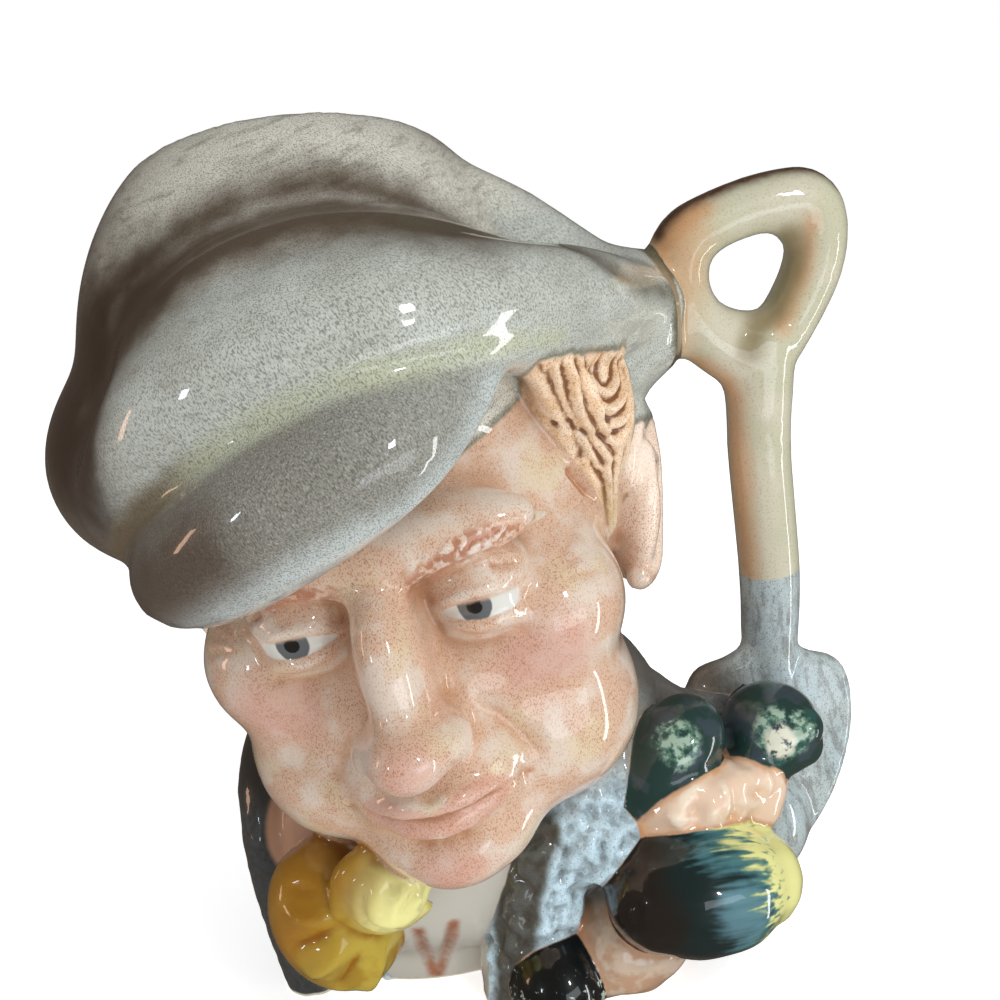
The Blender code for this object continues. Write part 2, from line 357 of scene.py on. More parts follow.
COAT_EDGE = 0.35                     # half the width of the blend where two painted colours meet
hollow = value_of("hollow")          # how deep in a broad fold a point lies
crease = value_of("crease")          # how deep in a narrow line it lies
wander = speck(7, 3) - 0.5           # the unsteady edge of a brushed colour
tremble = speck(1.6, 2) - 0.5        # and its broken edge
layers = []                          # (colour, mask), in the order that they are brushed on


def coat_on(name, paint):
    """Paints a colour where the mesh says that its clay is."""
    layers.append((paint, patch(name, -COAT_EDGE, COAT_EDGE, 0.8, 0.4)))


# ---------------------------------------------------------------- the marks of the tools
# Lines pressed into the clay or raised on it with a modelling tool: each follows the skin along a path, and
# dies away at its ends. They are kept in a list and pressed once the clay is fused.

marks = []


def finely(stations, spread, closed=False):
    """Points along a path, no farther apart than about half of its spread."""
    length = sum(math.dist(a, b) for a, b in zip(stations, stations[1:]))
    pieces = 2 + int(2 * length / spread / max(len(stations) - 2, 1))
    return along([(*station, spread) for station in stations], closed, pieces)


def mark(stations, width, height, frame=world, ends=0.25, closed=False):
    """A ridge, or a groove if its height is below zero, with the width of its half profile."""
    line = placed(finely(stations, width, closed), frame)[:, :3]
    marks.append((line, width * frame.median_scale, height * frame.median_scale, 0 if closed else ends))


stains = []


def stain(coat, spread, stations, frame=world):
    """A band of colour laid on the skin along a path, which reaches a spread to each side."""
    stains.append((coat, placed(finely(stations, spread), frame)))


# ---------------------------------------------------------------- the cap
# A soft flat cap: the crown slumps to one side, its front is a swollen roll of cloth over a stiff peak, and
# its other side is gathered into a sleeve that grips the spade. It is sponged grey, with olive in its folds,
# and partly painted in light and shade: a lighter top, darker folds, a darker left side and a pale peak edge.

FRONT_ROLL = [
    (-56, -14, 130, 7), (-51, -33, 132.5, 10), (-38.5, -46, 147.5, 14), (-16, -53.5, 157.5, 16.3),
    (8, -53, 160, 13.8), (28, -43, 155.5, 12), (44, -26, 150, 11), (58, -10, 144, 9),
]
SLEEVE = [
    (28, 0, 139, 34), (41, -3, 140, 28), (52, -4, 140.5, 20), (58.5, -5, 141.5, 15), (64.5, -5, 142, 12.8),
]
PEAK = [
    (-46, -30, 115, 8), (-43, -45, 120, 11), (-30, -59, 130, 13.5), (-13, -64.5, 139, 13.5),
    (-2, -63.5, 143, 12), (7, -61, 146, 8), (14, -58, 148.5, 5), (20, -55, 150.5, 2.5),
]
SEAM = [
    (-55, -32, 122), (-45, -49, 134), (-35, -58, 142), (-27, -62, 147), (-20, -64.5, 150.3), (-8, -66, 154),
    (2, -66, 154.3), (14, -62, 154.5), (22, -58, 153), (30, -52, 151),
]
roll("mass", "front", FRONT_ROLL)
roll("mass", "sleeve", SLEEVE, blunt=True)
roll("mass", "crown", [(14, -4, 171, 14), (26, -5, 165.5, 12.5), (37, -6, 159, 11), (48, -6, 152.5, 8)])
roll("mass", "crown", [
    (-38, -34, 154.5, 10), (-33, -37, 158.5, 11.5), (-25, -41, 163.5, 12), (-18, -43, 166, 12.5),
    (-4.5, -42, 166, 13.5), (9, -40, 162.5, 13.5), (20, -38, 157.5, 12.5), (32, -34, 151, 11),
])
roll("form", "peak", PEAK)

# The seam between the roll and the peak, the peak's bound edge, and the gathers that run into the sleeve.
mark(SEAM, 2.0, -0.8)
mark([(x, y, z + 3.4) for x, y, z in SEAM[2:-1]], 0.9, 0.45)
mark([(x, y, z + 5.4) for x, y, z in SEAM[5:-1]], 0.8, 0.35)
mark([(-46, -52, 114), (-36, -62, 117), (-25, -70, 123.5), (-14, -74, 128), (-5, -73, 132), (4, -68.5, 137.5),
      (12, -64, 143), (18, -60.5, 147), (21, -58, 150)], 1.5, 0.6, ends=0.1)
mark([(14, -62, 156.5), (24, -57, 156), (34, -47, 154), (44, -39, 151)], 1.4, -0.4)
mark([(26, -55, 161), (38, -44, 159), (50, -33, 157), (62, -20, 153)], 2.6, -0.5)
mark([(35, -46, 152), (43, -38, 148), (52, -28, 143), (62, -18, 141)], 2.2, -0.8)
mark([(38, -43, 148), (47, -33, 141), (55, -22, 131), (57, -12, 124)], 1.4, 0.8)
mark([(61.5, -19, 153), (63, -20, 143), (61.5, -15, 129)], 1.0, 0.7, ends=0.1)

VALLEY = [
    (-53, -38, 150), (-47, -32, 160), (-39, -36, 167), (-32, -40, 171.6), (-25, -42, 174.5), (-18, -44, 177),
    (-11, -44, 178.5), (-4.5, -44, 179), (2, -45, 178), (9, -45, 175.5), (15, -45, 172.5),
]
FOLD = [
    (9, -46, 175.5), (15, -46, 172.5), (20, -45, 169.5), (26, -43, 165.5), (32, -40, 162), (40, -36, 157),
    (47, -30, 152), (56, -20, 149), (63, -18, 146),
]
mark(FOLD, 2.4, -0.5)
# The brown valley between the crown and the roll, and the dark line along the fold: partly brown paint,
# partly painted shade.
stain("valley", 7, VALLEY)
stain("valley", 1.5, [
    (-47, -21, 166), (-36, -29, 174), (-26, -32, 179), (-16.5, -33, 181.5), (-3, -32, 182), (9.5, -33, 177),
    (20, -34, 171),
])
stain("fold", 2.4, FOLD)
# Dark brown down the far left of the crown: partly brown paint, partly painted shade on the side away from
# the lights.
stain("lee", 12, [(-60, -38, 138), (-62, -24, 142), (-60, -14, 150), (-52, -20, 158)])
stain("seam", 1.8, SEAM)
stain("dip", 8, [(-50, -48, 118), (-41, -58, 126), (-34, -65, 131)])
# A pale band along the peak's lower edge: partly its own paler edge, partly a painted reflection of the pale
# table below.
stain("hem", 3.6, [
    (-48, -44, 109), (-42, -56, 113), (-36, -64, 118), (-30, -68, 122), (-20, -72, 126), (-12, -74, 129.5),
    (-4, -72, 132.5), (5, -67, 138), (12, -63, 143), (18, -60, 147.5),
])
stain("rim", 2.9, [
    (63.8, -5, 155.0), (63.8, -12, 152.8), (63.8, -16.6, 147.5), (63.8, -17.8, 141), (63.8, -15.6, 134.5),
    (63.8, -10, 130.4), (63.8, -3, 129.2),
])
tint("sleeve", (52, -22.5, 139), (6, 7, 5.5))

CAP_LIGHT = (0.53, 0.55, 0.495)
CAP_MID = (0.45, 0.455, 0.40)
# The crown's warm grey, made lighter than the roll as painted light falling on the top of the cap.
CROWN_GREY_AND_TOP_LIGHT = (0.66, 0.63, 0.54)
PEAK_GREY = (0.235, 0.220, 0.185)
CAP_OLIVE = (0.50, 0.51, 0.35)
CAP_BROWN = (0.072, 0.041, 0.019)
CAP_DARK_SHADE = (0.034, 0.014, 0.007)
on_peak = patch("peak", -0.5, 3.5, 2)
cap_dash = speck(0.24, 2.5, 0.65, stretch=(1, 1, 2.3), turn=(14, 26, 0))
cap_streak = speck(1.4, 3, 0.6, stretch=(9, 4, 1), turn=(0, 12, -10))
cap_paint = washed(
    CAP_LIGHT,
    (CAP_MID, speck(20, 3).step(0.35, 0.65)),
    # the crown, partly its own warm grey and partly painted light from above
    (CROWN_GREY_AND_TOP_LIGHT, patch("crown", -2, 4, 3)),
    (PEAK_GREY, on_peak * 0.92),
    ((0.33, 0.335, 0.295), on_peak * (axis("X") + axis("Z")).step(132, 160) * 0.8),
    # the peak's pale lower edge, partly a painted reflection of the table
    ((0.52, 0.56, 0.54), on_peak * patch("hem", -4, 2.5, 4) * 0.9),
    ((0.60, 0.62, 0.56), axis("X").step(34, 50) * 0.45),
    ((0.66, 0.66, 0.60), cap_dash.step(0.43, 0.30) * 0.40),
    ((0.20, 0.17, 0.12), cap_streak.step(0.50, 0.72) * patch("crown", -2, 3, 3) * 0.36),
    ((0.25, 0.24, 0.19), cap_streak.step(0.50, 0.74) * 0.32),
    # the valley's brown and the fold's dark line, partly painted shade
    (CAP_BROWN, patch("valley", -11, 4, 9) * 0.94),
    # the valley darker still towards the left, partly painted shade
    ((0.030, 0.013, 0.006), patch("valley", -7, 3, 6) * axis("X").step(-22, -42) * 0.8),
    ((0.10, 0.085, 0.052), patch("fold", -3, 2.4, 3) * 0.8),
    # the crown's left side, partly brown paint and partly painted shade
    (CAP_BROWN,
     (axis("X") * -1 + wander * 12 - axis("Z") * 0.3).step(-24, 6)
     * (value_of("crown") + 2).step(-1, 5) * 0.75),
    # the far left of the crown, partly dark paint and partly painted shade
    (CAP_DARK_SHADE, patch("lee", -10, 8, 8) * 0.95),
    # the peak's left end, partly brown paint and partly painted shade
    ((0.075, 0.04, 0.024), patch("dip", -7, 7, 8) * 0.8),
    (CAP_OLIVE, patch("seam", -2.4, 2.0, 3, 1) * 0.85),
    # the seam's left end, partly brown paint and partly painted shade
    ((0.12, 0.065, 0.028), patch("seam", -3, 1, 3) * axis("X").step(-30, -44) * 0.8),
    # olive in the folds and creases, partly a wash and partly painted shade
    ((0.24, 0.24, 0.13), (hollow + crease * 2 + wander * 0.5).step(0.8, 2.6) * 0.4),
    ((0.13, 0.12, 0.06), patch("cap", 1.7, 0.3, broken=1) * 0.7),
    ((0.11, 0.09, 0.042), patch("rim", -0.8, 0.8, 1, 1) * 0.92),
    ((0.05, 0.045, 0.032), cap_dash.step(0.47, 0.62) * 0.60),
)


# ---------------------------------------------------------------- the head
# A calm, evenly proportioned face with a broad nose and full cheeks. It is flesh-coloured, wiped back on
# the high places and left warm in the creases, partly as painted shade, with a red-brown stipple and a blush
# on the cheeks.

lump("mass", "skin", (0, -47, -32), (17, 10, 13), frame=head)
lump("base", "skin", (0, -45, -44), (17, 12, 12), frame=head)
lump("mass", "skin", (0, -50, -46), (11, 7.5, 8), frame=head)
lump("mass", "skin", (0, -52, -6), (6.5, 12, 17), turn=(-14, 0, 0), frame=head)
lump("mass", "skin", (0, -63, -18), (7.5, 8, 6.5), frame=head)
lump("mass", "skin", (0, -46, 13), (30, 9, 8), frame=head)
roll("form", "skin", [
    (-13, -51, -33.5, 1.5), (-6, -57.5, -31, 2.6), (0, -57.5, -32, 2.4), (6, -57.5, -31, 2.6),
    (13, -51, -33.5, 1.5),
], frame=head)
roll("form", "skin", [
    (-12, -51, -34.5, 1.5), (-5, -56.5, -36.5, 3), (5, -56.5, -36.5, 3), (12, -51, -34.5, 1.5),
], frame=head)
mark([(-14, -50, -33.4), (-7, -58, -33.4), (0, -60, -34.2), (7, -58, -33.4), (14, -50, -33.4)], 0.8, -1.2,
     frame=head, ends=0.12)
mark([(-8, -56, -40), (0, -59, -41.5), (8, -56, -40)], 2.4, -1.0, frame=head)
mark([(0, -66, -25), (0, -60, -27), (0, -60, -30)], 1.5, -0.7, frame=head)
for side in (-1, 1):
    lump("mass", "skin", (side * 6.8, -58, -19), (4.4, 6.5, 4.6), frame=head)
    lump("base", "skin", (side * 24, -31, -10), (17, 17, 16), frame=head)
    lump("base", "skin", (side * 18, -27, -32), (21, 22, 20), frame=head)
    # The eye: a ball under an upper and a lower lid, each with a rounded margin.
    lump("form", "skin", (side * 16, -41.5, 1), (9.8, 8.2, 8.4), frame=head)
    lump("fine", "eye", (side * 16, -43.2, 0.4), (8.2, 7.8, 7.6), frame=head)
    lump("fine", "skin", (side * 16, -42.9, 3.8), (9.4, 8.6, 6.2), turn=(8, 0, 0), frame=head)
    lump("fine", "skin", (side * 16, -42.4, -4.4), (9.0, 8.0, 4.4), frame=head)
    roll("fine", "skin", [
        (side * 7.5, -44.5, -1.6, 1.0), (side * 10.5, -50.0, 2.0, 1.1), (side * 16, -52.2, 3.4, 1.15),
        (side * 21.5, -49.5, 2.2, 1.1), (side * 25.5, -41.0, -2.0, 0.9),
    ], frame=head)
    roll("fine", "skin", [
        (side * 7.5, -44.5, -1.6, 1.0), (side * 11, -49.8, -2.9, 0.9), (side * 16, -51.2, -3.9, 0.9),
        (side * 21.5, -48.8, -3.4, 0.9), (side * 25.5, -41.0, -2.0, 0.8),
    ], frame=head)
    mark([
        (side * 7.5, -50, 4.4), (side * 15, -54, 8.6), (side * 24, -50, 6.6), (side * 29, -43, 1),
    ], 0.8, -0.9, frame=head)
    mark([(side * 8, -50, -6.5), (side * 16, -53, -9.5), (side * 25, -47, -7.5)], 1.2, -0.55, frame=head)
    for fan in (-3.5, 0, 3.5):
        mark([
            (side * 28.5, -43, fan * 0.4 - 1), (side * 31.5, -40, fan * 0.8 - 1),
            (side * 35, -35, fan * 1.5 - 1),
        ], 0.7, -0.45, frame=head, ends=0.5)
    # The brow, with short hairs pressed across it.
    ridge = [(side * 7, -50, 8.5), (side * 16, -53, 11.8), (side * 25, -46.5, 11.8), (side * 30, -40, 9.5)]
    hairs = [(*station, thick) for station, thick in zip(ridge, (1.8, 2.6, 2.2, 1.0))]
    roll("form", "skin", hairs, frame=head)
    stain("brow", 2.6, ridge, frame=head)
    for i in range(17):
        s = i / 16
        x, z = 6.5 + 23.5 * s, 9 + 10 * s - 9 * s * s + 0.7 * math.sin(9 * i)
        lean = 1.2 + 2.0 * s + 0.7 * math.sin(5 * i)
        mark([(side * (x - lean), -56, z - 2.0), (side * x, -56, z + 0.2), (side * (x + lean), -56, z + 1.6)],
             0.55, 0.45 if i % 2 else -0.55, frame=head, ends=0.45)
    # The wings of the nose, the nostrils and the fold beside the mouth.
    mark([
        (side * 7.5, -60, -24.3), (side * 11.4, -55, -21), (side * 11.6, -54, -16.5),
        (side * 8.5, -57, -12.5),
    ], 0.9, -1.0, frame=head, ends=0.2)
    mark([
        (side * 2.8, -66, -24.4), (side * 4.4, -63, -25), (side * 5.8, -60, -24.2),
    ], 1.3, -1.9, frame=head, ends=0.1)
    mark([(side * 12, -53, -17), (side * 17, -50, -24), (side * 18.5, -46, -33)], 1.8, -0.8, frame=head)
    mark([
        (side * 13.5, -50.5, -33.6), (side * 15.5, -49, -33.2), (side * 16.8, -48, -35),
    ], 1.3, -0.7, frame=head)
    mark([(side * 2.4, -64, -25), (side * 2.6, -60, -28), (side * 3.2, -59, -30.5)], 0.9, 0.4, frame=head)
    # The ear: a shell with a rolled rim, a hollow and a lobe.
    lump("form", "skin", (side * 44, 0, -7), (5, 11, 18), turn=(8, side * 12, side * 20), frame=head)
    roll("form", "skin", [
        (side * 44, -10, 1, 2), (side * 47, -9, 11, 2.8), (side * 50, 4, 11.5, 2.8), (side * 50, 9, -3, 2.8),
        (side * 47, 4, -15, 3), (side * 44.5, -2, -22, 3.4), (side * 42.5, -7, -21, 3),
    ], frame=head)
    mark([
        (side * 49, -7, 8), (side * 52, 1, 6), (side * 51, 4, -4), (side * 48, 0, -12),
    ], 1.4, -1.6, frame=head)
    mark([(side * 49, -7, 1), (side * 50, -2, -3), (side * 48, -5, -9)], 1.9, -1.7, frame=head)
    mark([(side * 49.5, -5, 4), (side * 51, 0, 0), (side * 49, 0, -8)], 0.9, 0.8, frame=head)
    tint("ear", (side * 48, 0, -4), (7, 12, 20), frame=head)
    tint("iris", (side * 16 - 0.6, -51.5, -0.1), (3.1, 4, 3.1), frame=head)
    tint("pupil", (side * 16 - 0.6, -51.5, 0), (1.4, 4, 1.4), frame=head)
    tint("blush", (side * 25, -48, -14), (10, 9, 8), frame=head)
    tint("lash", (side * 16, -51.5, 2.6), (8.5, 5, 1.0), frame=head)
    tint("lips", (side * 6, -56, -33.8), (8.5, 7, 4.3), turn=(0, side * -6, 0), frame=head)
tint("blush", (0, -70, -18), (6, 6, 5), frame=head)
tint("blush", (0, -57, -47), (7, 5, 5), frame=head)

SKIN = (0.63, 0.42, 0.295)
SKIN_PALE = (0.69, 0.58, 0.48)
SKIN_WARM = (0.53, 0.25, 0.11)
SKIN_STIPPLE = (0.36, 0.15, 0.085)
skin_cloud = speck(8, 3)
wiped = (axis("Y") * -1).step(-8, 24) * 0.6 + 0.25
stipple = speck(0.26, 1.5, 0.5, stretch=(1, 1, 1.7)).step(0.52, 0.64)
stipple *= skin_cloud.step(0.70, 0.36) * 0.5 + 0.25
brow_hair = patch("brow", -1.6, 1.2, 2, 1)
skin_paint = washed(
    SKIN,
    (SKIN_PALE, (skin_cloud - crease * 0.5 - hollow * 0.06).step(0.44, 0.66) * wiped),
    ((0.65, 0.53, 0.32), speck(13, 2).step(0.57, 0.70) * 0.5),
    ((0.60, 0.31, 0.24), patch("blush", -3.5, 5, 4) * 0.65),
    ((0.62, 0.30, 0.22), patch("lips", -0.8, 0.8, broken=1.5) * 0.6),
    # warm in the hollows and dark in the creases, partly washes and partly painted shade
    (SKIN_WARM, (hollow + wander * 1.2).step(0.0, 1.5) * 0.70),
    ((0.94, 0.76, 0.62), patch("ear", -3, 1, 2) * 0.85),
    ((0.42, 0.18, 0.08), (crease + tremble * 0.10).step(0.03, 0.30) * 0.75),
    (SKIN_STIPPLE, stipple),
    ((0.40, 0.15, 0.075),
     brow_hair * (speck(1.5, 2, stretch=(1, 1, 1.8)) + crease).step(0.36, 0.52) * 0.85),
    # pale on the brow's raised hairs, partly pale strokes and partly painted highlights
    ((0.74, 0.64, 0.56), brow_hair * (crease + tremble * 0.25).step(-0.08, -0.25) * 0.6),
)

EYE_WHITE = (0.66, 0.64, 0.58)
IRIS = (0.12, 0.13, 0.13)
eye_paint = washed(
    EYE_WHITE,
    (IRIS, patch("iris", -0.15, 0.2, broken=0.3)),
    ((0.015, 0.013, 0.012), value_of("pupil").step(-0.15, 0.15)),
    ((0.10, 0.06, 0.05), patch("lash", -0.1, 0.6, broken=0.3) * 0.8),
)


# ---------------------------------------------------------------- the hair
# A thick curl at the temple by the handle, a side lock that runs down in front of the ear, and short hair at
# the back. Strands are combed into the clay, and the red-brown colour settles between them, partly as
# painted shade.

lump("form", "hair", (38, -27, 130), (11, 12, 16))
lump("form", "hair", (44, -14, 115), (6, 10, 13))
lump("form", "hair", (0, 20, 88), (40, 32, 31))
roll("form", "hair", [
    (27, -48, 148, 4), (32, -40, 140, 6.5), (35.5, -33.5, 129, 7), (38.5, -31, 117, 5), (40.5, -27, 104, 2.2),
])
roll("form", "hair", [(30, -46, 147, 4), (36, -37, 146, 5.5), (43, -30, 143, 5)])
CURL = (42, -36, 142)
for wide, height in ((2.0, -1.2), (3.3, 0.7), (4.6, -1.3), (5.9, 0.8), (7.2, -1.3), (8.6, 0.8), (9.9, -1.2)):
    x, y, z = CURL
    low = z - wide * 1.25 - 3
    mark([
        (x - wide * 0.95, y - 1.5, z + 6), (x - wide * 0.95, y - 1, (z + low) / 2),
        (x - wide * 0.5, y - 1.5, low), (x + wide * 0.4, y, low),
        (x + wide * 0.9, y + 3, (z + low) / 2), (x + wide, y + 6, z + 5),
    ], 0.85, height, ends=0.12)
for i in range(9):
    s = i / 8
    top = Vector((26 + 6 * s, -52 + 11 * s, 150 - 3 * s))
    low = Vector((38 + 4.5 * s, -36 + 2 * s, 112 + 13 * s))
    middle = top.lerp(low, 0.45) + Vector((-1.0, -1, -5 + 3 * s))
    mark([top, middle, low], 0.9, 0.8 if i % 2 else -1.35, ends=0.12)
for i in range(6):
    s = i / 5
    mark([
        (37.5 + 8 * s, -37 + 3 * s, 124), (39.5 + 5 * s, -35 + 4 * s, 113), (41 + 1.6 * s, -29 + 3 * s, 101),
    ], 0.85, 0.6 if i % 2 else -0.9, ends=0.2)
tint("hair", (2, 36, 108), (52, 25, 36))
for i in range(34):
    turn = math.radians(-66 + 132 * i / 33)
    out = Vector((math.sin(turn), math.cos(turn), 0))
    top = out * 57 + Vector((2, 2, 124))
    mark([
        top, out * 56 + Vector((1, 2, 98)), out * 42 + Vector((0, 2, 74)),
    ], 1.1, 0.8 if i % 2 else -0.9, ends=0.2)

HAIR = (0.80, 0.53, 0.32)
hair_paint = washed(
    HAIR,
    ((0.88, 0.68, 0.49), (speck(4, 2) - crease * 0.5).step(0.45, 0.65) * 0.8),
    # dark between the strands, partly settled colour and partly painted shade
    ((0.20, 0.065, 0.018), (crease + tremble * 0.22).step(-0.01, 0.24) * 0.92),
    ((0.17, 0.07, 0.03), speck(0.30, 1.5).step(0.53, 0.64) * 0.5),
    ((0.52, 0.40, 0.19), (axis("Z") * -1 + wander * 8).step(-118, -106) * 0.4),
)


# ---------------------------------------------------------------- the spade
# The handle: an open wooden grip and shaft, cream with a celadon cast and pinkish brown in its bends, and a
# grey-blue steel socket and blade. It is one casting with the jug, and its colours meet on a straight line.

GRIP = [
    (69, -5, 155, 7), (79, -5, 158.5, 6.4), (90, -5, 160, 6.6), (100.5, -5, 159, 7), (100.5, -5, 146, 6.8),
    (93, -5, 134, 6.6), (84, -5, 124, 7), (74, -5, 132, 7), (67.5, -5, 143, 7),
]
SHAFT = [
    (86, -5, 134, 8), (84.5, -5, 122, 8), (83, -5, 108, 7.3), (83, -5, 90, 7.3), (83, -5, 72, 7.3),
    (81.5, -5, 58, 7), (79, -7, 40, 6),
]
BLADE = [(0, 15), (8, 6), (20, 4), (22, -14), (15, -34), (2, -47), (-14, -36), (-22, -14), (-21, 4), (-8, 6)]
BLADE_THICK = 6.0
STEEL_TOP = 75.2
roll("form", "spade", GRIP, closed=True)
roll("form", "spade", SHAFT, blunt=True)
roll("form", "spade", [
    (64, -5, 137, 6.5), (69, -5, 136.5, 6.5), (76, -5, 134.3, 6.7), (82.2, -5, 128, 6.9), (84, -5, 118, 7.2),
    (83.2, -5, 104, 7.3),
])
HAND_HOLE = [(83, -5, 135.5), (92.8, -5, 152.8), (74, -5, 151)]
ARCH = [(67, -5, 129.5), (72, -5, 127.5), (75.5, -5, 122.5), (75.8, -5, 113)]
for corner, radius in (((82.6, -5, 133.2), 4.6), ((94.4, -5, 154.4), 4.2), ((72.4, -5, 152.4), 4.0)):
    lump("form", "spade", corner, (radius, 5.5, radius))

blade_turn = Euler((math.radians(-12), math.radians(9), 0)).to_matrix().to_4x4()
blade_place = Matrix.Translation((79, -8, 48)) @ blade_turn
blade_curve = bpy.data.curves.new("blade", "CURVE")
blade_curve.dimensions = "2D"
blade_curve.fill_mode = "BOTH"
blade_curve.bevel_depth = BLADE_THICK / 3
blade_curve.bevel_resolution = 2
blade_curve.offset = -BLADE_THICK / 3
blade_curve.extrude = BLADE_THICK / 6
blade = formed(blade_curve, [(x, z, 0, 1) for x, z in along(BLADE, closed=True)], True)
blade.matrix_world = Matrix.Scale(mm, 4) @ blade_place @ Matrix.Rotation(math.radians(90), 4, "X")
bpy.ops.object.transform_apply()
heaps["form"].append(blade)
tint("spade", (79, -8, 33), (24, 3.4, 34), turn=(-12, 9, 0))
tint("spade", (63, -8, 56), (9, 4, 9))
tint("spade", (94, -8, 54), (10, 4, 9))

WOOD = (0.505, 0.485, 0.345)
WOOD_PINK = (0.56, 0.27, 0.105)
STEEL = (0.46, 0.52, 0.51)
stain("wood_line", 2.2, [
    (63, -6.3, 160), (69, -6.3, 162.5), (79, -6.3, 164.8), (90, -6.3, 166.4), (99, -6.3, 165.8),
    (105, -6.5, 162),
])
# Pinkish brown down the inner arch and the shaft's left edge, inside the grip's right arm and at its left
# end.
stain("wood_pink_brown", 2.6, [(70, -8, 129), (75.5, -8, 121), (75.8, -8, 105), (75.8, -8, 90), (76, -8, 76)])
stain("wood_pink_brown", 1.4, [(97.5, -10, 155), (95, -10.5, 147), (92, -11, 140), (88, -11.5, 134)])
stain("wood_pink_brown", 2.2, [(64, -9, 155), (68, -9.5, 159.5), (73, -9.5, 162)])
# Dark olive along the hole's inner right edge and down into the fork: partly olive paint, partly painted
# shade.
stain("fork_olive_and_shade", 3.0, [
    (93.5, -8, 153), (92, -9, 148.5), (90, -9, 143), (87, -9.5, 138.5), (83, -10, 134), (80.5, -10.5, 130),
])
wood_pink_brown = patch("wood_pink_brown", -2.8, 2.4, 3, 1) * 0.7
wood_line = patch("wood_line", -2.2, 2.0, 2, 1)
wood_end = (axis("X") * -1 + axis("Z") * 0.3 + wander * 8).step(-33, -22) * 0.6
wood_paint = washed(
    WOOD,
    ((0.57, 0.525, 0.40), speck(14, 2).step(0.4, 0.65)),
    # olive in the bends and creases, partly a wash and partly painted shade
    ((0.36, 0.29, 0.155), (crease * 2 + hollow + wander * 0.5).step(0.1, 1.5) * 0.85),
    (WOOD_PINK, wood_pink_brown),
    (WOOD_PINK, wood_end),
    ((0.065, 0.025, 0.012), wood_line),
    # the hole's inner edge and the fork, partly painted shade
    ((0.19, 0.135, 0.045), patch("fork_olive_and_shade", -2.2, 2.6, 2) * 0.75),
    ((0.30, 0.19, 0.10), speck(0.4, 1.5).step(0.55, 0.68) * 0.35),
)
steel_paint = washed(
    STEEL,
    ((0.44, 0.52, 0.54), speck(10, 3).step(0.42, 0.66)),
    ((0.20, 0.20, 0.19), speck(2.2, 4, 0.7, stretch=(1, 1, 3)).step(0.46, 0.62) * 0.6),
    # dark in the hollows and creases, partly a wash and partly painted shade
    ((0.13, 0.10, 0.075), (hollow + crease * 2 + wander * 1.0).step(0.3, 2.4) * 0.85),
    # the blade's left side, partly a brown wash and partly painted shade
    ((0.12, 0.09, 0.065), (axis("X") * -1 + wander * 8).step(-77, -64) * 0.93),
    ((0.06, 0.055, 0.05), speck(0.36, 2.5, 0.6).step(0.52, 0.66) * 0.55),
)
below_wood = (axis("Z") * -1 + tremble * 0.5).step(-STEEL_TOP - 0.2, -STEEL_TOP + 0.2)
spade_paint = brush(wood_paint, steel_paint, below_wood)


# ---------------------------------------------------------------- the dress
# A yellow neckerchief with a big knot, an open shirt, and a rough tweed jacket whose lapels run down to the
# foot. The tweed is a mass of short ridges; black settles between them and they catch the light, and both are
# partly painted: shade between the ridges and highlights on their tops.

lump("form", "kerchief", (-20, -43.5, 43.5), (9, 9, 9.3), turn=(0, 30, 0))
lump("form", "kerchief", (-11, -39.5, 45), (7, 6, 5.5), turn=(0, -20, 0))
lump("form", "kerchief", (-32, -32, 31.5), (14, 13, 19), turn=(0, -14, 20))
roll("form", "kerchief", [
    (-38, 8, 62, 7), (-32, -24, 60, 8), (-14, -39, 56, 8), (-2, -41, 55, 7), (4, -38, 56, 5),
])
roll("form", "jacket", [(4, -38, 54, 6), (16, -36, 56, 7), (30, -20, 60, 7)])
roll("form", "jacket", [
    (-4, 34, 60, 7), (28, 24, 61, 8), (44, -2, 58, 9), (36, -26, 52, 10), (19, -32, 40, 10),
    (8.5, -33, 18, 10.5), (5, -32, -6, 10.5),
])
roll("form", "jacket", [
    (-4, 34, 60, 7), (-30, 24, 60, 8), (-41, 2, 54, 8), (-43, -10, 40, 8), (-43, -11, 20, 8),
    (-41, -10, -6, 8),
])
roll("form", "jacket", [
    (44, -8, 57, 6), (48, -11, 54.2, 5.2), (52.5, -12.5, 49.6, 5), (57, -12.5, 48, 4.6), (62, -12, 45, 4),
])
# The cloth curls round the knot and fans out of it, and hangs below in deep folds.
roll("fine", "kerchief", [
    (-20, -44, 53.5, 2.2), (-26.5, -44, 51, 2.9), (-29.5, -43, 44, 3.1), (-27, -43, 37, 2.9),
    (-19, -43, 33, 2.5), (-12.5, -43, 36, 1.2),
])
mark([(-24, -50, 51), (-27, -50, 44), (-24, -50, 37), (-18, -51, 35)], 1.2, -1.2, ends=0.15)
mark([(-8, -50, 54), (-12, -54, 48), (-15, -55, 42), (-19, -55, 38)], 1.7, -1.4)
mark([(-11, -50, 55), (-15.5, -54, 49), (-18, -55, 44)], 1.3, 1.3)
mark([(-13, -50, 56), (-19, -54, 50), (-23, -54, 43), (-22, -54, 37)], 1.5, -1.0)
mark([(-6, -50, 50), (-10, -54, 45), (-12, -55, 40)], 1.3, 1.2)
mark([(-5, -48, 47), (-8.5, -52, 42), (-10, -53, 37)], 1.5, -1.1)
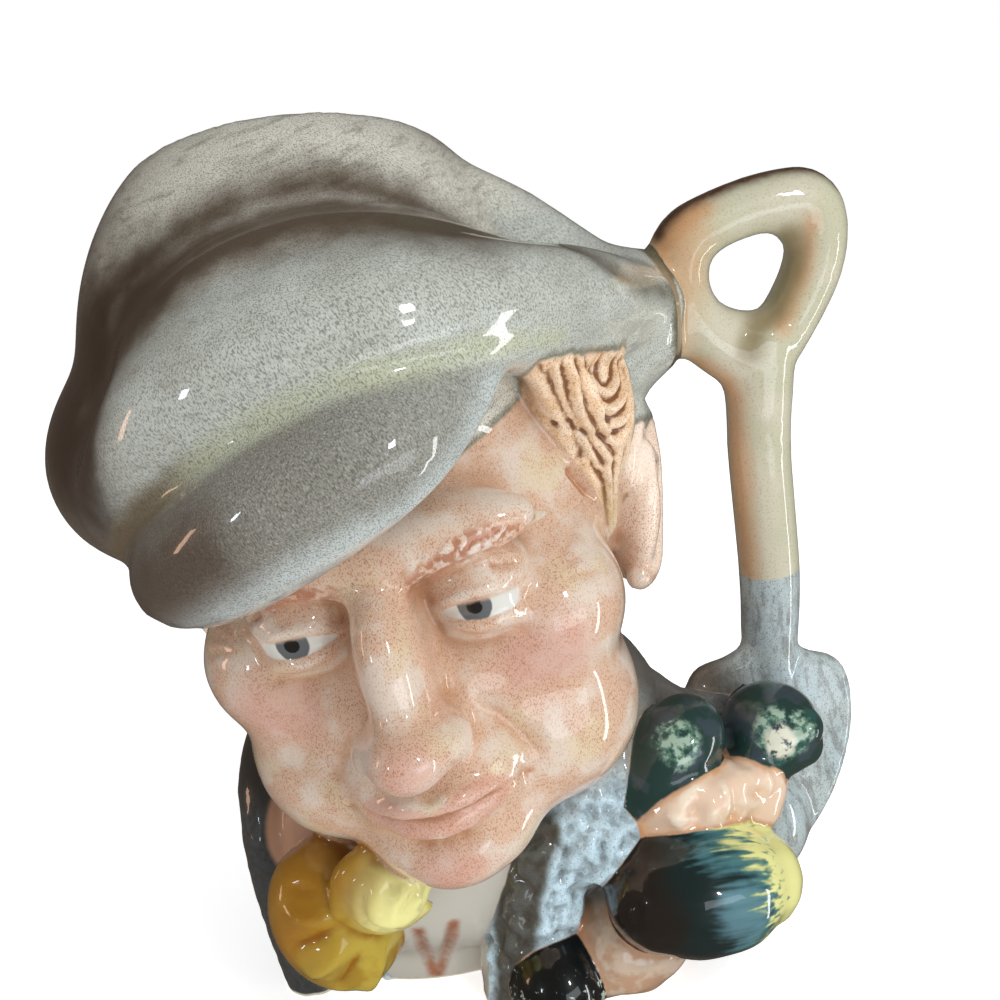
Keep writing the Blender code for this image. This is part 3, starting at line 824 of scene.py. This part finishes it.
for start, bend, end, width, height in (
    ((-30, -46, 41), (-37, -46, 40), (-43, -41, 42), 1.7, 1.6),
    ((-31, -46, 38), (-38, -47, 35), (-44, -41, 33), 1.6, -1.7),
    ((-30, -45, 34), (-35, -46, 29), (-42, -42, 25), 2.0, 1.8),
    ((-27, -44, 31), (-31, -45, 24), (-37, -42, 17), 1.7, -1.7),
    ((-24, -41, 29), (-27, -42, 20), (-30, -38, 11), 1.8, 1.4),
    ((-33, -45, 47), (-38, -43, 47), (-42, -39, 48), 1.3, -0.9),
):
    mark([start, bend, end], width, height, ends=0.3)
LAPEL_FOLDS = (
    [(-16, -37, 24), (-16.5, -32, 13), (-15, -26, 1)],
    [(-8, -38, 24), (-10, -34, 13), (-14, -26, 1)],
)
# Red-brown lines along the folds at the shirt's V: partly red-brown paint, partly painted shade in the folds.
for fold in LAPEL_FOLDS:
    mark(fold, 1.1, -1.0, ends=0.2)
    stain("shirt_v_lines", 1.0, fold)
mark([(-2, -36, 28), (-4, -33, 14), (-6, -28, 2)], 1.6, 0.8, ends=0.2)
stain("lapel", 5.5, [
    (12, -40, 47), (8.5, -40, 38), (5, -41, 28), (2.5, -42, 18), (0.5, -42, 6), (-0.5, -42, 0),
])
tint("shirt", (-11, -25, 6), (16, 12, 16))
tint("neck", (-38, -20, 46), (6.5, 13, 12), turn=(0, 12, 0))
tint("knot", (-18, -46, 43.5), (10, 10, 10.5))

KERCHIEF = (0.50, 0.36, 0.045)
on_knot = patch("knot", -3, 4, 5)
# Painted shade, in deep ochre, on the kerchief's upper left and far side.
kerchief_far_shade = (axis("X") * -1 + axis("Z") * 0.8 + wander * 8).step(52, 72)
# Dark orange-brown in the kerchief's folds and creases: partly a wash, partly painted shade.
kerchief_wash_and_shade = (hollow * 1.2 + crease * 2.5 + wander * 0.8).step(0.05, 1.5)
kerchief_paint = washed(
    KERCHIEF,
    ((0.36, 0.20, 0.012), (speck(9, 3) + hollow * 0.1).step(0.38, 0.60) * 0.85),
    ((0.88, 0.83, 0.34), on_knot * 0.95),
    ((0.34, 0.14, 0.010), kerchief_far_shade * 0.8),
    ((0.28, 0.095, 0.003), kerchief_wash_and_shade * (0.9 - on_knot * 0.45)),
)
SHIRT = (0.53, 0.50, 0.435)
shirt_paint = washed(
    SHIRT,
    # brown in the hollows and creases, partly a wash and partly painted shade
    ((0.42, 0.31, 0.22), (hollow + crease * 2 + wander * 0.8).step(0.3, 2.4) * 0.7),
    # the lines in the V's folds, partly painted shade
    ((0.34, 0.115, 0.045), patch("shirt_v_lines", -1.4, 0.8, 1.4, 0.5) * 0.95),
)
TWEED = (0.37, 0.46, 0.50)
tweed_grain = speck(1.6, 3, 0.6)
jacket_paint = washed(
    TWEED,
    # pale on the raised grain, partly the tweed's pale fleck and partly painted highlights
    ((0.56, 0.72, 0.79), (tweed_grain - crease * 0.9).step(0.38, 0.62)),
    # black between the ridges, partly settled colour and partly painted shade
    ((0.05, 0.048, 0.044), (crease + tweed_grain * 0.35).step(0.24, 0.62) * 0.62),
    ((0.29, 0.28, 0.24), (axis("Z") + wander * 6).step(46, 54) * 0.9),
    # painted shadow of the leaves on the shoulder by the blade
    ((0.10, 0.09, 0.08), (axis("X") + axis("Z") * 0.4 + wander * 6).step(62, 72) * 0.9),
    # darkest in the deep hollows, partly a wash and partly painted shade
    ((0.02, 0.018, 0.016), (hollow + wander * 1.0).step(0.6, 2.6) * 0.8),
    ((0.055, 0.036, 0.014), patch("lapel", -1.5, 1.5, 3, 1) * 0.9),
    ((0.024, 0.018, 0.014), (axis("X") * -1 + wander * 6).step(34, 42) * 0.93),
    ((0.05, 0.045, 0.035), speck(0.4, 2.0, 0.6).step(0.54, 0.68) * 0.5),
)


# ---------------------------------------------------------------- the harvest
# Vegetables heaped at the foot of the spade: two dark leafy heads on a peach-coloured root, a marrow whose
# black-green skin breaks into yellow in dry brush strokes, a dark cut stem and a second root below.

roll("form", "leaf", [(37.5, -36, 41, 5), (40, -35, 44.5, 7), (46, -32, 50.5, 10), (50, -30.5, 52.5, 9.5)])
for centre, radii in (
    ((72, -25, 45), (11.5, 12, 11)), ((77.5, -28, 42.5), (5.2, 7, 6)),
    ((77, -31, 48), (5, 6, 4.5)), ((65, -31, 43), (5, 6, 5)),
):
    lump("form", "leaf", centre, radii)
lump("form", "jacket", (27, -38, 36), (9, 7.5, 9))
lump("form", "root", (49, -33, 38), (14, 11.5, 10.5), turn=(0, 16, 0))
lump("form", "root", (61.5, -30, 34.5), (11, 10, 10))
roll("form", "root", [
    (38, -39, 38.5, 4.2), (42.5, -39.5, 40.6, 6.3), (46, -39.5, 41.6, 6.8), (50, -39, 41.4, 7.2),
    (53.5, -38, 41, 6.2), (57.5, -37, 40.5, 6.8), (61, -36, 40, 5.8), (65, -34, 39, 5.2),
])
roll("form", "marrow", [
    (38, -45, 25, 13.6), (42.5, -45.5, 24.5, 15), (48, -45, 23, 14.8), (54, -43.5, 21.5, 14),
    (58, -42, 20, 11.5),
])
lump("form", "lower_root", (29, -36, 8.5), (15, 13, 12.5))
lump("form", "stem", (11.5, -40, 6), (10.5, 13, 12.3))
lump("form", "spade", (68, -16, 14), (15, 10, 16))
MARROW_END = (22.5, -57, 30)
ring = [(MARROW_END[0] + 4.6 * math.cos(a), MARROW_END[1], MARROW_END[2] + 5.2 * math.sin(a))
        for a in np.linspace(0, 2 * math.pi, 8, endpoint=False)]
mark(ring, 0.7, -0.8, closed=True)
for stations, width, height in (
    ([(53, -41, 49), (54, -43, 43), (53, -45, 38)], 1.2, 0.9),
    ([(57, -41, 46), (60, -42, 41), (66, -40, 38)], 2.6, -1.3),
    ([(48, -42, 47), (46, -44, 43), (48, -45, 40)], 2.2, -1.2),
    ([(41, -42, 44), (44, -43.5, 41.5), (42, -44, 39)], 1.8, 0.8),
    ([(64, -39, 46), (67, -39, 42), (66, -40, 37)], 1.4, 0.8),
):
    mark(stations, width, height, ends=0.4)

LEAF = (0.018, 0.045, 0.038)
near_crown = value_of("leaf_ring") + wander * 6 + tremble * 2
leaf_ring = near_crown.step(-1.6, 1.2) * near_crown.step(6.0, 3.2)
ring_noise = speck(2.2, 3, 0.6)
heart = patch("leaf_heart", -0.8, 1.0, 4, 1)
leaf_paint = washed(
    LEAF,
    ((0.025, 0.085, 0.07), (speck(5, 3) + near_crown * 0.02).step(0.50, 0.68)),
    ((0.05, 0.065, 0.085), (speck(6, 2) + axis("X") * 0.002).step(0.62, 0.72) * 0.6),
    ((0.12, 0.24, 0.17), leaf_ring * ring_noise.step(0.40, 0.52) * 0.85),
    ((0.38, 0.48, 0.38), leaf_ring * ring_noise.step(0.50, 0.58) * 0.85),
    ((0.70, 0.68, 0.55), heart * ring_noise.step(0.34, 0.48) * 0.95),
)
tint("leaf_ring", (46, -40, 57), (5, 5, 5))
tint("leaf_ring", (71, -36, 51.5), (7, 5, 6.5))
tint("sheen", (51, -59, 26), (7, 5, 5.5), turn=(0, 12, 0))
tint("leaf_heart", (70, -37, 49.5), (4, 4, 4.2))
ROOT = (0.74, 0.53, 0.38)
root_paint = washed(
    ROOT,
    # orange-brown blotches that gather in the creases, partly paint and partly painted shade
    ((0.68, 0.36, 0.17), (hollow * 0.3 + crease * 2.5 + wander * 2.4).step(0.15, 0.8) * 0.75),
    # cream on the bumps, partly paint and partly painted highlights
    ((0.82, 0.70, 0.54), (crease * -2 + wander).step(0.05, 0.40) * 0.8),
    ((0.50, 0.22, 0.08), patch("root", 1.8, 0.2, 1.5, 1) * 0.7),
)
lower_paint = washed(
    (0.48, 0.29, 0.18),
    ((0.58, 0.44, 0.33), (speck(5, 3) - crease).step(0.45, 0.62)),
    # dark in the hollows, partly a wash and partly painted shade
    ((0.42, 0.17, 0.07), (hollow + wander * 1.5).step(0.1, 1.6) * 0.8),
)
streak = speck(1.2, 1.0, 0.5, stretch=(12, 1, 1), turn=(0, -14, -8)) - 0.5
marrow_run = axis("X") + streak * 20 + (axis("Z") - 26).step(4, 12) * 5
marrow_paint = washed(
    (0.016, 0.012, 0.009),
    ((0.008, 0.020, 0.019), (axis("X") + wander * 8).step(34, 40)),
    ((0.075, 0.21, 0.235), (marrow_run + wander * 16 - 4).step(42, 54) * 0.85),
    ((0.11, 0.23, 0.27), (value_of("sheen") + wander * 8 + streak * 6).step(-3, 3) * 0.75),
    ((0.10, 0.20, 0.09), marrow_run.step(53, 59) * 0.6),
    ((0.74, 0.71, 0.28), (marrow_run + tremble * 3).step(55.5, 60.5)),
    ((0.55, 0.42, 0.12), patch("marrow", 1.2, 0.2, 1) * axis("X").step(48, 56) * 0.6),
)
fleck = speck(2.0, 4, 0.65)
stem_paint = washed(
    (0.005, 0.007, 0.007),
    ((0.012, 0.020, 0.019), (fleck - axis("Z") * 0.012).step(0.40, 0.52) * 0.6),
    ((0.46, 0.52, 0.44), (fleck - axis("Z") * 0.018).step(0.41, 0.46) * 0.9),
)


# ---------------------------------------------------------------- the cast body
# The clay is fused in four passes, the coarse masses first, so that the finer work stays crisp. Then the
# tools' marks and the tweed are worked into it, and it is thinned where it is smooth.


def fused(pile, voxel, passes, name):
    """One skin round a pile of overlapping clay, smoothed."""
    pick(*pile)
    bpy.ops.object.join()
    made = bpy.context.object
    made.name = name
    fuse = made.modifiers.new("fuse", "REMESH")
    fuse.mode = "VOXEL"
    fuse.voxel_size = voxel * mm
    fuse.use_smooth_shade = True
    bpy.ops.object.modifier_apply(modifier="fuse")
    soften(made, passes)
    return made


def soften(thing, passes, where=None):
    """Smooths the clay, everywhere or where a weight from 0 to 1 is given for each point."""
    pick(thing)
    smooth = thing.modifiers.new("soften", "SMOOTH")
    smooth.factor = 0.5
    smooth.iterations = passes
    if where is not None:
        weigh(thing, "soft", where)
        smooth.vertex_group = "soft"
    bpy.ops.object.modifier_apply(modifier="soften")
    thing.vertex_groups.clear()


def weigh(thing, name, where):
    """A vertex group in steps of a fiftieth."""
    group = thing.vertex_groups.new(name=name)
    levels = np.round(np.asarray(where) * 50).astype(int)
    for level in range(1, 51):
        chosen = np.flatnonzero(levels == level)
        if len(chosen):
            group.add(chosen.tolist(), level / 50, "REPLACE")


def copy_of(thing):
    """A copy with a mesh of its own."""
    made = thing.copy()
    made.data = thing.data.copy()
    bpy.context.scene.collection.objects.link(made)
    return made


def points_of(thing):
    """The mesh's points, in millimetres."""
    points = np.empty(len(thing.data.vertices) * 3, np.float32)
    thing.data.vertices.foreach_get("co", points)
    return points.reshape(-1, 3).astype(float) / mm


def set_points(thing, points):
    """Moves the mesh's points, given in millimetres."""
    thing.data.vertices.foreach_set("co", (points * mm).astype(np.float32).ravel())
    thing.data.update()


def keep(thing, name, values):
    """Keeps a value for each of the mesh's points through the next edits."""
    kept = thing.data.attributes.new(name, "FLOAT", "POINT")
    kept.data.foreach_set("value", values.astype(np.float32))


def normals_of(thing):
    """The mesh's normal at each point."""
    normals = np.empty(len(thing.data.vertices) * 3, np.float32)
    thing.data.vertex_normals.foreach_get("vector", normals)
    return normals.reshape(-1, 3).astype(float)


def nearest_coat(names, points):
    """How far points are from the nearest of these coats."""
    return np.min([distance(points) for name in names for distance in coats[name]], axis=0)


def soften_along(thing, stations, passes, peak, reach, closed=False):
    """Smooths the clay near a path. The weight falls from its peak, cut off at 1, to 0 at peak * reach mm."""
    away = near_line(along([(*station, 0) for station in stations], closed))(points_of(thing))
    soften(thing, passes, np.clip(peak - away / reach, 0, 1))


inner = fused([copy_of(form) for form in body_forms], 2.4, 9, "inside")
jug = fused(heaps["base"], 1.6, 45, "jug")
jug = fused([jug] + heaps["mass"], 1.2, 24, "jug")
soften_along(jug, VALLEY, 150, 1.8, 12)
jug = fused([jug] + heaps["form"], 0.9, 6, "jug")
soften_along(jug, SEAM, 90, 1.7, 8)
soften_along(jug, HAND_HOLE, 80, 1.5, 4.5, closed=True)
soften_along(jug, ARCH, 80, 1.5, 4.5)
jug = fused([jug] + heaps["fine"], 0.72, 3, "jug")

points = points_of(jug)
normals = normals_of(jug)
skin = BVHTree.FromPolygons(points.tolist(), [list(face.vertices) for face in jug.data.polygons])
for coat, line in stains:
    laid = [(*skin.find_nearest(Vector(station[:3]))[0], station[3]) for station in line]
    coats.setdefault(coat, []).append(near_line(laid))
lift = np.zeros(len(points))
for line, width, height, ends in marks:
    line = np.array([skin.find_nearest(Vector(point))[0] for point in line])
    low, high = line.min(0) - 3 * width, line.max(0) + 3 * width
    close = np.flatnonzero(((points > low) & (points < high)).all(1))
    away = np.linalg.norm(points[close, None] - line[None], axis=2)
    nearest = away.argmin(1)
    run = nearest / (len(line) - 1)
    taper = np.clip(np.minimum(run, 1 - run) / ends, 0, 1) if ends else 1.0
    lift[close] += height * taper * np.exp(-((away.min(1) / width) ** 2))

CAP = ("crown", "front", "sleeve", "peak")
AREAS = (
    "skin", "hair", "eye", "spade", "kerchief", "shirt", "jacket",
    "leaf", "root", "lower_root", "marrow", "stem",
)
reach = {name: nearest_coat([name], points) for name in AREAS}
reach["cap"] = nearest_coat(CAP, points)
others = {name: np.min([reach[other] for other in reach if other != name], axis=0) for name in reach}


def within(name):
    """1 inside a colour's clay, falling to 0 over 2 mm at its edge."""
    return np.clip((others[name] - reach[name]) / 2, 0, 1)


tweed = within("jacket") * np.clip((56 - points[:, 2]) / 10, 0.12, 1)
tweed *= np.clip((points[:, 0] + 42) / 8, 0.15, 1) * np.clip(1 - points[:, 1] / 20, 0.45, 1)
knobbly = np.maximum(within("root"), within("lower_root"))
for i in np.flatnonzero((tweed > 0) | (knobbly > 0)):
    x, y, z = points[i]
    ridge = noise.noise(Vector((x / 2.2 - z / 6, y / 2.2, z / 3.6 + x / 6)))
    lump_up = noise.noise(Vector((x / 3.0, y / 3.0, z / 3.4)))
    swell = noise.noise(Vector((x / 5.5 + 7, y / 5.5, z / 6.5)))
    lift[i] += tweed[i] * (0.5 * (1 - 2 * abs(ridge)) - 0.25 + 1.9 * lump_up + 1.0 * swell)
    lift[i] += knobbly[i] * 1.1 * noise.noise(Vector((x / 5.5, y / 6, z / 7)))
set_points(jug, points + normals * lift[:, None])
soften(jug, 1)

# How deep each point lies below its surroundings, broadly and closely, for the washes that settle there,
# which are partly painted shade.
points = points_of(jug)
normals = normals_of(jug)
for name, passes in (("crease", 10), ("hollow", 160)):
    relaxed = copy_of(jug)
    soften(relaxed, passes)
    depth = ((points_of(relaxed) - points) * normals).sum(1)
    keep(jug, name, depth)
    bpy.data.objects.remove(relaxed)

# Thinning: the wanted edge length for each part, in millimetres.
WANTED = {
    "skin": 1.0, "cap": 1.9, "hair": 0.9, "eye": 0.75, "spade": 1.6, "kerchief": 1.3, "shirt": 1.4,
    "jacket": 1.05, "leaf": 1.2, "root": 1.1, "lower_root": 1.2, "marrow": 1.2, "stem": 1.2,
}
FINEST = 0.72
TRIANGLES = 168_000
owner = np.argmin([reach[name] for name in WANTED], axis=0)
wanted = np.array(list(WANTED.values()))[owner]
behind = np.clip((points[:, 1] - 10) / 20, 0, 1)
wanted = wanted + behind * (2.0 - wanted)
weigh(jug, "thin", np.clip(1 - FINEST / wanted, 0, 0.98))
pick(jug)
thin = jug.modifiers.new("thin", "DECIMATE")
thin.vertex_group = "thin"
thin.vertex_group_factor = 60
thin.ratio = TRIANGLES / (2 * len(jug.data.polygons))
bpy.ops.object.modifier_apply(modifier="thin")
jug.vertex_groups.clear()


# ---------------------------------------------------------------- the inside, the mouth and the foot
# The slip leaves a wall of even thickness, so the inside follows the outside of the main masses. The mouth is
# trimmed on a slope behind the cap's front and its lip is sponged round. The foot is ground flat.

WALL = 4.5
FLOOR = 7.0
MOUTH = Vector((0, -18, 195)) * mm
MOUTH_SLOPE = math.radians(24)
MOUTH_UP = Vector((0.07, math.sin(MOUTH_SLOPE), math.cos(MOUTH_SLOPE))).normalized()


def trim(thing, point, up, fill):
    """Cuts away all that lies above a plane."""
    pick(thing)
    bpy.ops.object.mode_set(mode="EDIT")
    bpy.ops.mesh.select_mode(type="VERT")
    bpy.ops.mesh.select_all(action="SELECT")
    bpy.ops.mesh.bisect(plane_co=point, plane_no=up, clear_outer=True, use_fill=fill)
    bpy.ops.object.mode_set(mode="OBJECT")


wall = inner.modifiers.new("wall", "DISPLACE")
wall.strength = -WALL * mm
wall.mid_level = 0
pick(inner)
bpy.ops.object.modifier_apply(modifier="wall")
inner = fused([inner], 2.2, 3, "inside")
trim(inner, MOUTH, MOUTH_UP, False)
trim(inner, Vector((0, 0, FLOOR * mm)), Vector((0, 0, -1)), True)
trim(jug, MOUTH, MOUTH_UP, False)
trim(jug, Vector((0, 0, 0)), Vector((0, 0, -1)), True)
for thing, value in ((jug, 0.0), (inner, 1.0)):
    keep(thing, "lining", np.full(len(thing.data.vertices), value))
pick(inner)
bpy.ops.object.mode_set(mode="EDIT")
bpy.ops.mesh.select_all(action="SELECT")
bpy.ops.mesh.flip_normals()
bpy.ops.object.mode_set(mode="OBJECT")
pick(jug, inner)
bpy.ops.object.join()
bpy.ops.object.mode_set(mode="EDIT")
bpy.ops.mesh.select_all(action="DESELECT")
bpy.ops.mesh.select_mode(type="EDGE")
bpy.ops.mesh.select_non_manifold(extend=False, use_wire=False, use_multi_face=False, use_non_contiguous=False,
                                 use_verts=False)
bpy.ops.mesh.bridge_edge_loops(number_cuts=3, interpolation="LINEAR")
for _ in range(3):
    bpy.ops.mesh.select_more()
bpy.ops.mesh.vertices_smooth(factor=0.5, repeat=5)
bpy.ops.mesh.select_all(action="SELECT")
bpy.ops.mesh.quads_convert_to_tris()
bpy.ops.mesh.normals_make_consistent(inside=False)
bpy.ops.object.mode_set(mode="OBJECT")
bpy.ops.object.shade_smooth()

for name, paint in (
    ("shirt", shirt_paint), ("jacket", jacket_paint), ("kerchief", kerchief_paint), ("hair", hair_paint),
    ("eye", eye_paint), ("cap", cap_paint), ("spade", spade_paint), ("root", root_paint),
    ("lower_root", lower_paint), ("leaf", leaf_paint), ("stem", stem_paint), ("marrow", marrow_paint),
):
    coat_on(name, paint)
# The neck beside the collar: its skin painted in shade.
NECK_IN_SHADE = (0.47, 0.26, 0.16)
CREAM = (0.78, 0.75, 0.66)
BARE_CLAY = (0.66, 0.60, 0.50)
layers.insert(3, (NECK_IN_SHADE, patch("neck", -1, 1, 2)))    # over the dress, but under the hair and the rest
foot = axis("Z").step(0.9, 0.3)
layers.append((CREAM, patch("lining", 0.35, 0.65, broken=0.2)))
layers.append((BARE_CLAY, foot))
paint = washed(skin_paint, *layers)

# What the glaze reads on the finished mesh: how far inside each colour a point lies, in millimetres, and how
# deep in a fold. Three values share an attribute.
points = points_of(jug)
areas = {name: nearest_coat([name], points) for name in AREAS}
areas["cap"] = nearest_coat(CAP, points)
parts_of_cap = {name: nearest_coat([name], points) for name in CAP}
values = {}
for name in kept_values:
    if name in coats and name not in AREAS + CAP:
        values[name] = -nearest_coat([name], points)
for rivals in (areas, parts_of_cap):
    for name, own in rivals.items():
        values[name] = np.min([rivals[other] for other in rivals if other != name], axis=0) - own
for name in ("hollow", "crease", "lining"):
    values[name] = np.empty(len(points), np.float32)
    jug.data.attributes[name].data.foreach_get("value", values[name])
    jug.data.attributes.remove(jug.data.attributes[name])
for first in range(0, len(kept_values), 3):
    trio = np.zeros((len(points), 3), np.float32)
    for third, name in enumerate(kept_values[first:first + 3]):
        trio[:, third] = values[name]
    kept = jug.data.attributes.new(f"kept_{first // 3}", "FLOAT_VECTOR", "POINT")
    kept.data.foreach_set("vector", trio.ravel())

skin_of_glaze = speck(5, 2) * 0.05 + speck(0.9, 1) * 0.008
bump = Wire.node("Bump", {}, {"Height": skin_of_glaze, "Distance": mm, "Strength": 1.0})
for name, value in (
    ("Base Color", paint), ("Normal", bump), ("Roughness", foot * 0.4 + 0.32), ("Coat Weight", 1 - foot),
):
    glaze.node_tree.links.new(value.socket, shader.inputs[name])
shader.inputs["Specular IOR Level"].default_value = 0.25
shader.inputs["Coat Roughness"].default_value = 0.035
shader.inputs["Coat IOR"].default_value = 1.55
jug.data.materials.clear()
jug.data.materials.append(glaze)
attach(jug, "root")
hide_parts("jug")


# ---------------------------------------------------------------- the table, the light and the camera
# A plain pale table, lit by a soft window in front on the right, a big dim light overhead and a low warm one
# on the left, in a room whose far side is dark and brown.

TABLE_RADIUS = 1.6                   # in metres
bpy.ops.mesh.primitive_circle_add(vertices=96, radius=TABLE_RADIUS, fill_type="NGON")
table = bpy.context.object
table.name = "table"
table_finish = bpy.data.materials.new("pale_table")
table_finish.use_nodes = True
table_surface = table_finish.node_tree.nodes["Principled BSDF"]
table_surface.inputs["Base Color"].default_value = (0.82, 0.82, 0.82, 1)
table_surface.inputs["Roughness"].default_value = 1.0
table_surface.inputs["Emission Color"].default_value = (1, 1, 1, 1)
table_surface.inputs["Emission Strength"].default_value = 0.66
table.data.materials.append(table_finish)
table.visible_glossy = False
table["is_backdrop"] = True

surroundings = bpy.data.worlds.new("surroundings")
bpy.context.scene.world = surroundings
surroundings.use_nodes = True
sky = surroundings.node_tree
backdrop = sky.nodes["Background"]               # what the camera sees behind the table
ambient = sky.nodes.new("ShaderNodeBackground")  # what lights the clay
room = sky.nodes.new("ShaderNodeBackground")     # what the glaze mirrors
for part, seen, strength in (
    (backdrop, (1, 1, 1, 1), 1.0), (ambient, (0.94, 0.97, 1.0, 1), 0.42), (room, (0.85, 0.66, 0.52, 1), 0.09),
):
    part.inputs["Color"].default_value = seen
    part.inputs["Strength"].default_value = strength
rays = sky.nodes.new("ShaderNodeLightPath")
dull = sky.nodes.new("ShaderNodeMixShader")
either = sky.nodes.new("ShaderNodeMixShader")
sky.links.new(rays.outputs["Is Glossy Ray"], dull.inputs["Fac"])
sky.links.new(ambient.outputs["Background"], dull.inputs[1])
sky.links.new(room.outputs["Background"], dull.inputs[2])
sky.links.new(rays.outputs["Is Camera Ray"], either.inputs["Fac"])
sky.links.new(dull.outputs["Shader"], either.inputs[1])
sky.links.new(backdrop.outputs["Background"], either.inputs[2])
sky.links.new(either.outputs["Shader"], sky.nodes["World Output"].inputs["Surface"])

MIDDLE = Vector((20, -20, 112)) * mm


def towards(azimuth, elevation):
    """The direction from the jug: azimuth 0 is in front of the face, 90 by the handle."""
    a, e = math.radians(azimuth), math.radians(elevation)
    return Vector((math.sin(a) * math.cos(e), -math.cos(a) * math.cos(e), math.sin(e)))


def lamp(name, azimuth, elevation, distance, width, height, power, tint_of, shine=True):
    """A soft box that looks at the jug's middle, its distance and size in metres and its power in watts."""
    light = bpy.data.lights.new(name, "AREA")
    light.shape = "RECTANGLE"
    light.size = width
    light.size_y = height
    light.energy = power
    light.color = tint_of
    made = bpy.data.objects.new(name, light)
    bpy.context.scene.collection.objects.link(made)
    away = towards(azimuth, elevation)
    made.location = MIDDLE + away * distance
    made.rotation_euler = (-away).to_track_quat("-Z", "Y").to_euler()
    made.visible_glossy = shine


lamp("key", 42, 44, 0.9, 0.5, 0.5, 3.6, (0.95, 0.98, 1.0), shine=False)
lamp("window", 28, 22, 0.9, 0.07, 0.12, 1.0, (0.95, 0.98, 1.0))
lamp("strip", 66, -24, 0.9, 0.06, 0.5, 0.9, (1.0, 1.0, 1.0))
lamp("far_window", -58, 8, 0.9, 0.05, 0.09, 0.3, (0.8, 0.9, 1.0))
lamp("overhead", 0, 80, 1.0, 0.8, 0.5, 1.4, (1.0, 1.0, 1.0), shine=False)
lamp("warm_fill", -95, 5, 1.0, 0.10, 0.30, 0.5, (1.0, 0.62, 0.42))
lamp("sheet", 24, -13, 0.34, 0.24, 0.10, 0.16, (0.85, 0.93, 1.0))

camera_data = bpy.data.cameras.new("camera")
camera_data.lens = 43.2
camera_data.sensor_width = 36
camera_data.clip_start = 0.01
camera = bpy.data.objects.new("camera", camera_data)
bpy.context.scene.collection.objects.link(camera)
away = towards(-8, 20)
DISTANCE = 250 * mm
ROLL = math.radians(9.7)
camera.location = MIDDLE + away * DISTANCE
camera.rotation_mode = "QUATERNION"
camera.rotation_quaternion = (-away).to_track_quat("-Z", "Y") @ Euler((0, 0, -ROLL)).to_quaternion()
bpy.context.scene.camera = camera
bpy.context.scene.view_settings.view_transform = "Standard"

low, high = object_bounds()
{"cad": [list(cad_low), list(cad_high)], "visual": [list(low), list(high)]}
